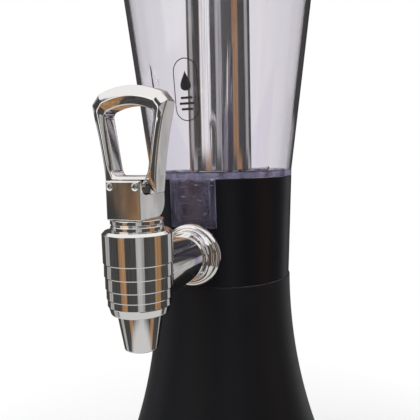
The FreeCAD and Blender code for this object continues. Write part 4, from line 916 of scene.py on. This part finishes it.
def makeHandle():
    # Two outlines with the same number of points, the loop's outside and its opening. The section
    # joins them: side face, bevel up to the ridge, bevel down to the opening, on the front and back.
    h = handle
    limb = np.linspace(0.06, 0.94, 24)[:, None]

    def bend(corner, before, after, radius, count):
        return softPath([(*before, 0), (*corner, radius), (*after, 0)], count - 3)[1:-1]

    foot, hip = (h["footHalf"], h["foot"]), (h["hipHalf"], h["hip"])
    shoulder, corner = (h["shoulderHalf"], h["shoulder"]), (h["cornerHalf"], h["corner"])
    arch = archRun(h["cornerHalf"], h["corner"], h["top"], 22)
    # the limb's outer side bows inward: a parabola through hip, middle and shoulder
    bow = np.polyfit([h["hip"], h["mid"], h["shoulder"]], [h["hipHalf"], h["midHalf"], h["shoulderHalf"]], 2)
    level = h["hip"] + (h["shoulder"] - h["hip"]) * limb[:, 0]
    side = np.stack([np.polyval(bow, level), level], -1)
    outer = np.vstack([
        np.linspace((0, h["foot"]), (h["footHalf"] - 2.0, h["foot"]), 6),
        bend(foot, (0, h["foot"]), hip, 1.0, 8),
        bend(hip, foot, tuple(side[1]), 4.0, 6),
        side,
        bend(shoulder, tuple(side[-2]), corner, 0.9, 8), bend(corner, shoulder, tuple(arch[1]), 0.9, 8),
        arch[2:]])
    sill, top = (h["sillHalf"], h["sill"]), (h["loopHalf"], h["loopShoulder"])
    inArch = archRun(h["loopHalf"], h["loopShoulder"], h["loopTop"], 22)
    inner = np.vstack([
        np.linspace((0, h["sill"]), (h["sillHalf"] - 3.2, h["sill"]), 6),
        bend(sill, (0, h["sill"]), top, 2.6, 15),
        np.array(sill) + (np.array(top) - np.array(sill)) * limb,
        bend(top, sill, tuple(inArch[3]), 2.8, 16), inArch[3:],
        ])
    count = min(len(outer), len(inner))
    if len(outer) != len(inner):
        raise ValueError("the loop's outlines differ: %d and %d" % (len(outer), len(inner)))
    outer = np.vstack([outer, (outer * [-1, 1])[-2:0:-1]])
    inner = np.vstack([inner, (inner * [-1, 1])[-2:0:-1]])
    deep = h["depth"] / 2
    footing = np.clip((h["hip"] + 7 - outer[:, 1]) / 7, 0, 1)
    ridge = h["ridge"] + (h["footRidge"] - h["ridge"]) * footing
    share = np.stack([0 * ridge, ridge, 0 * ridge + 1, 0 * ridge + 1, ridge, 0 * ridge])[..., None]
    # the outer bevel is shallow on the limbs and deeper over the crown
    crowning = np.clip((outer[:, 1] - h["crownFoot"]) / 7, 0, 1)
    bevel = h["limbBevel"] + (h["crownBevel"] - h["limbBevel"]) * crowning
    y = deep - np.stack([bevel, 0 * bevel, 0 * bevel + h["innerBevel"]])
    y = np.vstack([-y, y[::-1]])
    flat = outer[None] * (1 - share) + inner[None] * share
    rise = np.clip(flat[..., 1] - h["foot"], 0, h["sole"])
    squeeze = (deep - h["sole"] + np.sqrt(h["sole"] ** 2 - (h["sole"] - rise) ** 2)) / deep
    corners = np.stack([flat[..., 0], y * squeeze - tapReach, flat[..., 1] + seamLevel], -1)
    # each corner of the section is rounded by a parabola between points a cut away on its two sides,
    # and the four bevels swell between them: out by swell * width * 4 f (1 - f)
    back, on = np.roll(corners, 1, 0) - corners, np.roll(corners, -1, 0) - corners
    toBack, toNext = (np.linalg.norm(way, axis=2)[..., None] for way in (back, on))
    cut = np.minimum(h["edge"], 0.45 * np.minimum(toBack, toNext))
    start, end = corners + back / toBack * cut, corners + on / toNext * cut
    t = np.linspace(0, 1, 6)[:, None, None, None]
    rounded = (1 - t) ** 2 * start + 2 * t * (1 - t) * corners + t ** 2 * end
    f = np.array([0.2, 0.4, 0.6, 0.8])[:, None, None, None]
    faces = end * (1 - f) + np.roll(start, -1, 0) * f
    width = np.linalg.norm(np.roll(start, -1, 0) - end, axis=2)
    outward = np.array([-1, -1, 0, 1, 1, 0])[:, None]
    faces[..., 1] += h["swell"] * outward * width * (4 * f * (1 - f))[..., 0]
    points = np.concatenate([rounded, faces]).transpose(1, 0, 2, 3).reshape(-1, corners.shape[1], 3)
    return makePiece("loopHandle", points, gridFaces(len(points), points.shape[1], True, True), 60)


dress(makeHandle(), "tapChrome", "tap_chrome", "lever", "handle_loop")

spring = {"radius": 4.4, "wire": 0.45, "turns": 5, "endTurn": 0.04, "stroke": 4.66}


def makeSpring():
    # A ring section carried along a helix: (R cos a, R sin a, h)
    # plus wire * (cos b * outward + sin b * across),
    # where across is at right angles to the helix and to outward. The wire tapers to a point at both ends.
    s = spring
    low, high = (corner[2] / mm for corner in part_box("return_spring"))
    t = np.linspace(0, 1, s["turns"] * 32 + 1)[:, None]
    b = np.linspace(0, 2 * math.pi, 10, endpoint=False)[None, :]
    a = 2 * math.pi * s["turns"] * t
    climb = high - low - 2 * s["wire"]
    pitch = climb / (2 * math.pi * s["turns"])
    slant = math.hypot(s["radius"], pitch)
    near = np.minimum(t, 1 - t)
    wire = s["wire"] * np.sqrt(np.clip(near / s["endTurn"] * (2 - near / s["endTurn"]), 0, 1)
                               * (near < s["endTurn"]) + (near >= s["endTurn"]))
    out, across = wire * np.cos(b), wire * np.sin(b)
    points = np.stack([(s["radius"] + out) * np.cos(a) + across * pitch / slant * np.sin(a),
                       (s["radius"] + out) * np.sin(a) - across * pitch / slant * np.cos(a) - tapReach,
                       low + s["wire"] + climb * t + across * s["radius"] / slant + 0 * out], -1)
    piece = makePiece("coilSpring", points, gridFaces(len(t), 10, False, True), 60)
    dress(piece, "turnedSteel", "screw_steel", "tower", "return_spring")
    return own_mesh(piece)


makeSpring()

# the small inner pieces keep their own meshes
nodeFinishes = {
    "bottom_plate": ("skirtBlack", "base_black"), "base_pad": ("softRubber", "seal_rubber"),
    "plate_screws": ("turnedSteel", "screw_steel"), "collar_screws": ("turnedSteel", "screw_steel"),
    "lid_seal": ("softRubber", "seal_rubber"), "cap_ring": ("softRubber", "seal_rubber"),
    "ice_tube_foot": ("tubeSteel", "tube_steel"), "flange_gasket": ("softRubber", "seal_rubber"),
    "tank_washer": ("softRubber", "seal_rubber"), "shank_nut": ("turnedSteel", "screw_steel"),
    "valve_stem": ("turnedSteel", "screw_steel"), "stem_pin": ("turnedSteel", "screw_steel"),
    "seat_cup": ("softRubber", "seal_rubber"), "stem_ring": ("softRubber", "seal_rubber"),
    "spring_washer": ("turnedSteel", "screw_steel")}
for node, (finish, slot) in nodeFinishes.items():
    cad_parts[node].data.materials.clear()
    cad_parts[node].data.materials.append(finishes[finish])

print("camera and light")
view = {"azimuth": 22.82, "distance": 346.73, "height": 259.91, "yaw": 1.30, "pitch": 6.12, "roll": 1.26,
        "focal": 510.0, "frameSize": 420.0}


def makeCamera():
    azimuth, yaw = math.radians(view["azimuth"]), math.radians(view["yaw"])
    pitch, roll = math.radians(view["pitch"]), math.radians(view["roll"])
    level = Matrix.Rotation(yaw, 3, "Z") @ Vector((-math.sin(azimuth), math.cos(azimuth), 0))
    forward = level * math.cos(pitch) - Vector((0, 0, math.sin(pitch)))
    right = level.cross(Vector((0, 0, 1)))
    up = right.cross(forward)
    xAxis = right * math.cos(roll) - up * math.sin(roll)
    yAxis = right * math.sin(roll) + up * math.cos(roll)
    data = bpy.data.cameras.new("camera")
    data.sensor_width = 36.0
    data.lens = data.sensor_width * view["focal"] / view["frameSize"]
    data.clip_start = 0.01
    camera = bpy.data.objects.new("camera", data)
    place = Matrix((xAxis, yAxis, -forward)).transposed().to_4x4()
    place.translation = Vector((math.sin(azimuth) * view["distance"], -math.cos(azimuth) * view["distance"],
                                view["height"])) * mm
    camera.matrix_world = place
    bpy.context.scene.collection.objects.link(camera)
    bpy.context.scene.camera = camera


def softLamp(name, azimuth, elevation, distance, width, height, power):
    # A rectangular lamp that faces the tap. Azimuth 0 stands in front, 90 to the right.
    a, e = math.radians(azimuth), math.radians(elevation)
    data = bpy.data.lights.new(name, "AREA")
    data.shape, data.size, data.size_y, data.energy = "RECTANGLE", width, height, power
    lamp = bpy.data.objects.new(name, data)
    aim = Vector((0, -0.05, 0.27))
    way = Vector((math.sin(a) * math.cos(e), -math.cos(a) * math.cos(e), math.sin(e)))
    lamp.location = aim + way * distance
    lamp.rotation_euler = way.to_track_quat("Z", "Y").to_euler()
    lamp.visible_glossy = lamp.visible_transmission = False
    bpy.context.scene.collection.objects.link(lamp)
    return lamp


# The room round the piece, which only mirrored and transmitted rays see. Pale panels stand evenly round
# a dark wall in two rows, over a table and under a white ceiling, with one window at the key lamp.
room = {
    "panels": 6,
    "paleFrom": (0.2, 0.5),       # a panel stands where the wave round the wall is higher than this
    "rowShift": 0.25,             # turn of the upper row against the lower, as a share of one panel's place
    "window": (-50, 20),          # its middle and half its width, in degrees from the camera's side
    "table": -0.6,                # the heights where the lower row, the upper row and the ceiling begin
    "rail": 0.0,
    "ceiling": 0.5,
    "edge": 0.02,
    "waver": ((5.0, 5.0, 2.0), 2.2, 4.0),       # noises, as (stretch, scale, detail): one bends the
    "streak": ((16.0, 16.0, 1.2), 1.6, 3.0),    # panels' edges, two darken the wall in upright streaks
    "thread": ((75.0, 75.0, 4.0), 1.6, 2.0),
    "wallTone": (0.06, 0.06, 0.06),
    "stoneTone": (0.4, 0.4, 0.4),
    "woodTone": (0.35, 0.2, 0.1),
    "tableTone": (0.6, 0.6, 0.6),
    "whiteTone": (0.9, 0.9, 0.9),
    "throughTone": (0.85, 0.85, 0.85),
}


def makeRoom():
    world = bpy.data.worlds.new("room")
    bpy.context.scene.world = world
    world.use_nodes = True
    tree = world.node_tree
    tree.nodes.clear()

    def add(kind, **settings):
        node = tree.nodes.new(kind)
        for key, value in settings.items():
            setattr(node, key, value)
        return node

    def math2(operation, first, second):
        node = add("ShaderNodeMath", operation=operation)
        for socket, value in zip(node.inputs, (first, second)):
            if isinstance(value, (int, float)):
                socket.default_value = value
            else:
                tree.links.new(value, socket)
        return node.outputs[0]

    def mixed(factor, first, second):
        node = add("ShaderNodeMix", data_type="RGBA")
        for socket, value in ((node.inputs["Factor"], factor), (node.inputs["A"], first),
                              (node.inputs["B"], second)):
            if isinstance(value, (int, float)):
                socket.default_value = value
            elif isinstance(value, tuple):
                socket.default_value = (*value, 1)
            else:
                tree.links.new(value, socket)
        return node.outputs["Result"]

    def ranged(value, low, high):
        node = add("ShaderNodeMapRange", interpolation_type="SMOOTHSTEP")
        node.inputs["From Min"].default_value, node.inputs["From Max"].default_value = low, high
        tree.links.new(value, node.inputs["Value"])
        return node.outputs["Result"]

    way = add("ShaderNodeSeparateXYZ")
    tree.links.new(add("ShaderNodeTexCoord").outputs["Generated"], way.inputs[0])
    azimuth = math2("ARCTAN2", way.outputs["X"], math2("MULTIPLY", way.outputs["Y"], -1.0))
    turn = math2("DIVIDE", math2("SUBTRACT", azimuth, math.radians(view["azimuth"])), 2 * math.pi)

    def noise(stretch, scale, detail):
        mapping = add("ShaderNodeMapping")
        mapping.inputs["Scale"].default_value = stretch
        tree.links.new(way.inputs[0].links[0].from_socket, mapping.inputs["Vector"])
        node = add("ShaderNodeTexNoise")
        node.inputs["Scale"].default_value, node.inputs["Detail"].default_value = scale, detail
        tree.links.new(mapping.outputs["Vector"], node.inputs["Vector"])
        return node.outputs["Fac"]

    waver = math2("MULTIPLY", math2("SUBTRACT", noise(*room["waver"]), 0.5), 0.03)
    share = math2("FRACT", math2("ADD", math2("ADD", turn, waver), 1.5), 0.0)

    def wave(count, shift):
        # the sine of so many full turns round the horizon
        return math2("SINE", math2("MULTIPLY", math2("ADD", share, shift), 2 * math.pi * count), 0.0)

    def panelled(shift):
        # panels on the wall, every other one of wood
        tone = mixed(ranged(wave(room["panels"] / 2, shift), -0.1, 0.1), room["stoneTone"], room["woodTone"])
        return mixed(ranged(wave(room["panels"], shift), *room["paleFrom"]), room["wallTone"], tone)

    def above(level):
        return ranged(rise, level - room["edge"], level + room["edge"])

    rise = way.outputs["Z"]
    middle, half = room["window"]
    away = math2("ABSOLUTE", math2("SUBTRACT", share, (middle + 180) / 360), 0.0)
    window = math2("LESS_THAN", away, half / 360)
    upper = mixed(window, panelled(room["rowShift"] / room["panels"]), room["whiteTone"])
    wall = mixed(above(room["rail"]), panelled(0.0), upper)
    streaked = add("ShaderNodeMix", data_type="RGBA", blend_type="MULTIPLY")
    streaked.inputs["Factor"].default_value = 1.0
    tree.links.new(wall, streaked.inputs["A"])
    depth = math2("ADD", math2("MULTIPLY", ranged(noise(*room["streak"]), 0.36, 0.64), 0.46), 0.76)
    fineDepth = math2("ADD", math2("MULTIPLY", ranged(noise(*room["thread"]), 0.34, 0.66), 0.34), 0.83)
    tree.links.new(math2("MULTIPLY", depth, fineDepth), streaked.inputs["B"])
    mirror = mixed(above(room["table"]), room["tableTone"], streaked.outputs["Result"])
    mirror = mixed(above(room["ceiling"]), mirror, room["whiteTone"])
    # a mirrored ray that has crossed many surfaces comes from the ribs, which show the pale room behind
    path = add("ShaderNodeLightPath")
    mirrored = math2("MULTIPLY", math2("GREATER_THAN", path.outputs["Glossy Depth"], 0.5),
                     math2("LESS_THAN", path.outputs["Transmission Depth"], 4.5))
    through = mixed(path.outputs["Is Transmission Ray"], (1.0, 1.0, 1.0), room["throughTone"])
    seen = mixed(mirrored, through, mirror)
    seen = mixed(path.outputs["Is Camera Ray"], seen, (1.0, 1.0, 1.0))
    lit = mixed(path.outputs["Is Diffuse Ray"], seen, (0.62, 0.62, 0.62))
    background = add("ShaderNodeBackground")
    tree.links.new(lit, background.inputs["Color"])
    tree.links.new(background.outputs[0], add("ShaderNodeOutputWorld").inputs["Surface"])


def makeFloor():
    # a flat disc that fades into the white round it, and doesn't show in polished metal
    reach, rings, around = 450.0, 12, 96
    a = np.linspace(0, 2 * math.pi, around, endpoint=False)
    r = np.linspace(0, reach, rings)[:, None]
    points = np.stack([r * np.cos(a), r * np.sin(a), 0 * a + 0 * r], -1)
    floor = makePiece("floor", points, gridFaces(rings, around, False, True)[:, ::-1], close=False)
    f = Finish("paleFloor")
    f.tinted(f.noise(6.0, 3.0), (0.80, 0.80, 0.80), (0.84, 0.84, 0.84))
    f.rough(f.ranged(f.noise(40.0, 3.0), 0.55, 0.7))
    white = f.add("ShaderNodeEmission")
    length = f.add("ShaderNodeVectorMath", operation="LENGTH")
    f.join(f.place, length.inputs[0])
    fade = f.add("ShaderNodeMixShader")
    f.join(f.ranged(length.outputs["Value"], 0.0, 1.0, 0.11, 0.30), fade.inputs["Fac"])
    f.join(f.shader.outputs[0], fade.inputs[1])
    f.join(white.outputs[0], fade.inputs[2])
    f.join(fade.outputs[0], f.out.inputs["Surface"])
    floor.data.materials.append(f.material)
    floor.visible_glossy = False


makeCamera()
makeRoom()
makeFloor()
softLamp("keyLamp", -50, 45, 1.3, 0.7, 0.9, 9.0)
softLamp("fillLamp", 95, 20, 1.4, 0.5, 1.0, 5.0)
softLamp("backLamp", 200, 35, 1.5, 0.8, 0.8, 6.0)
bpy.context.scene.view_settings.view_transform = "Standard"

print("finish")
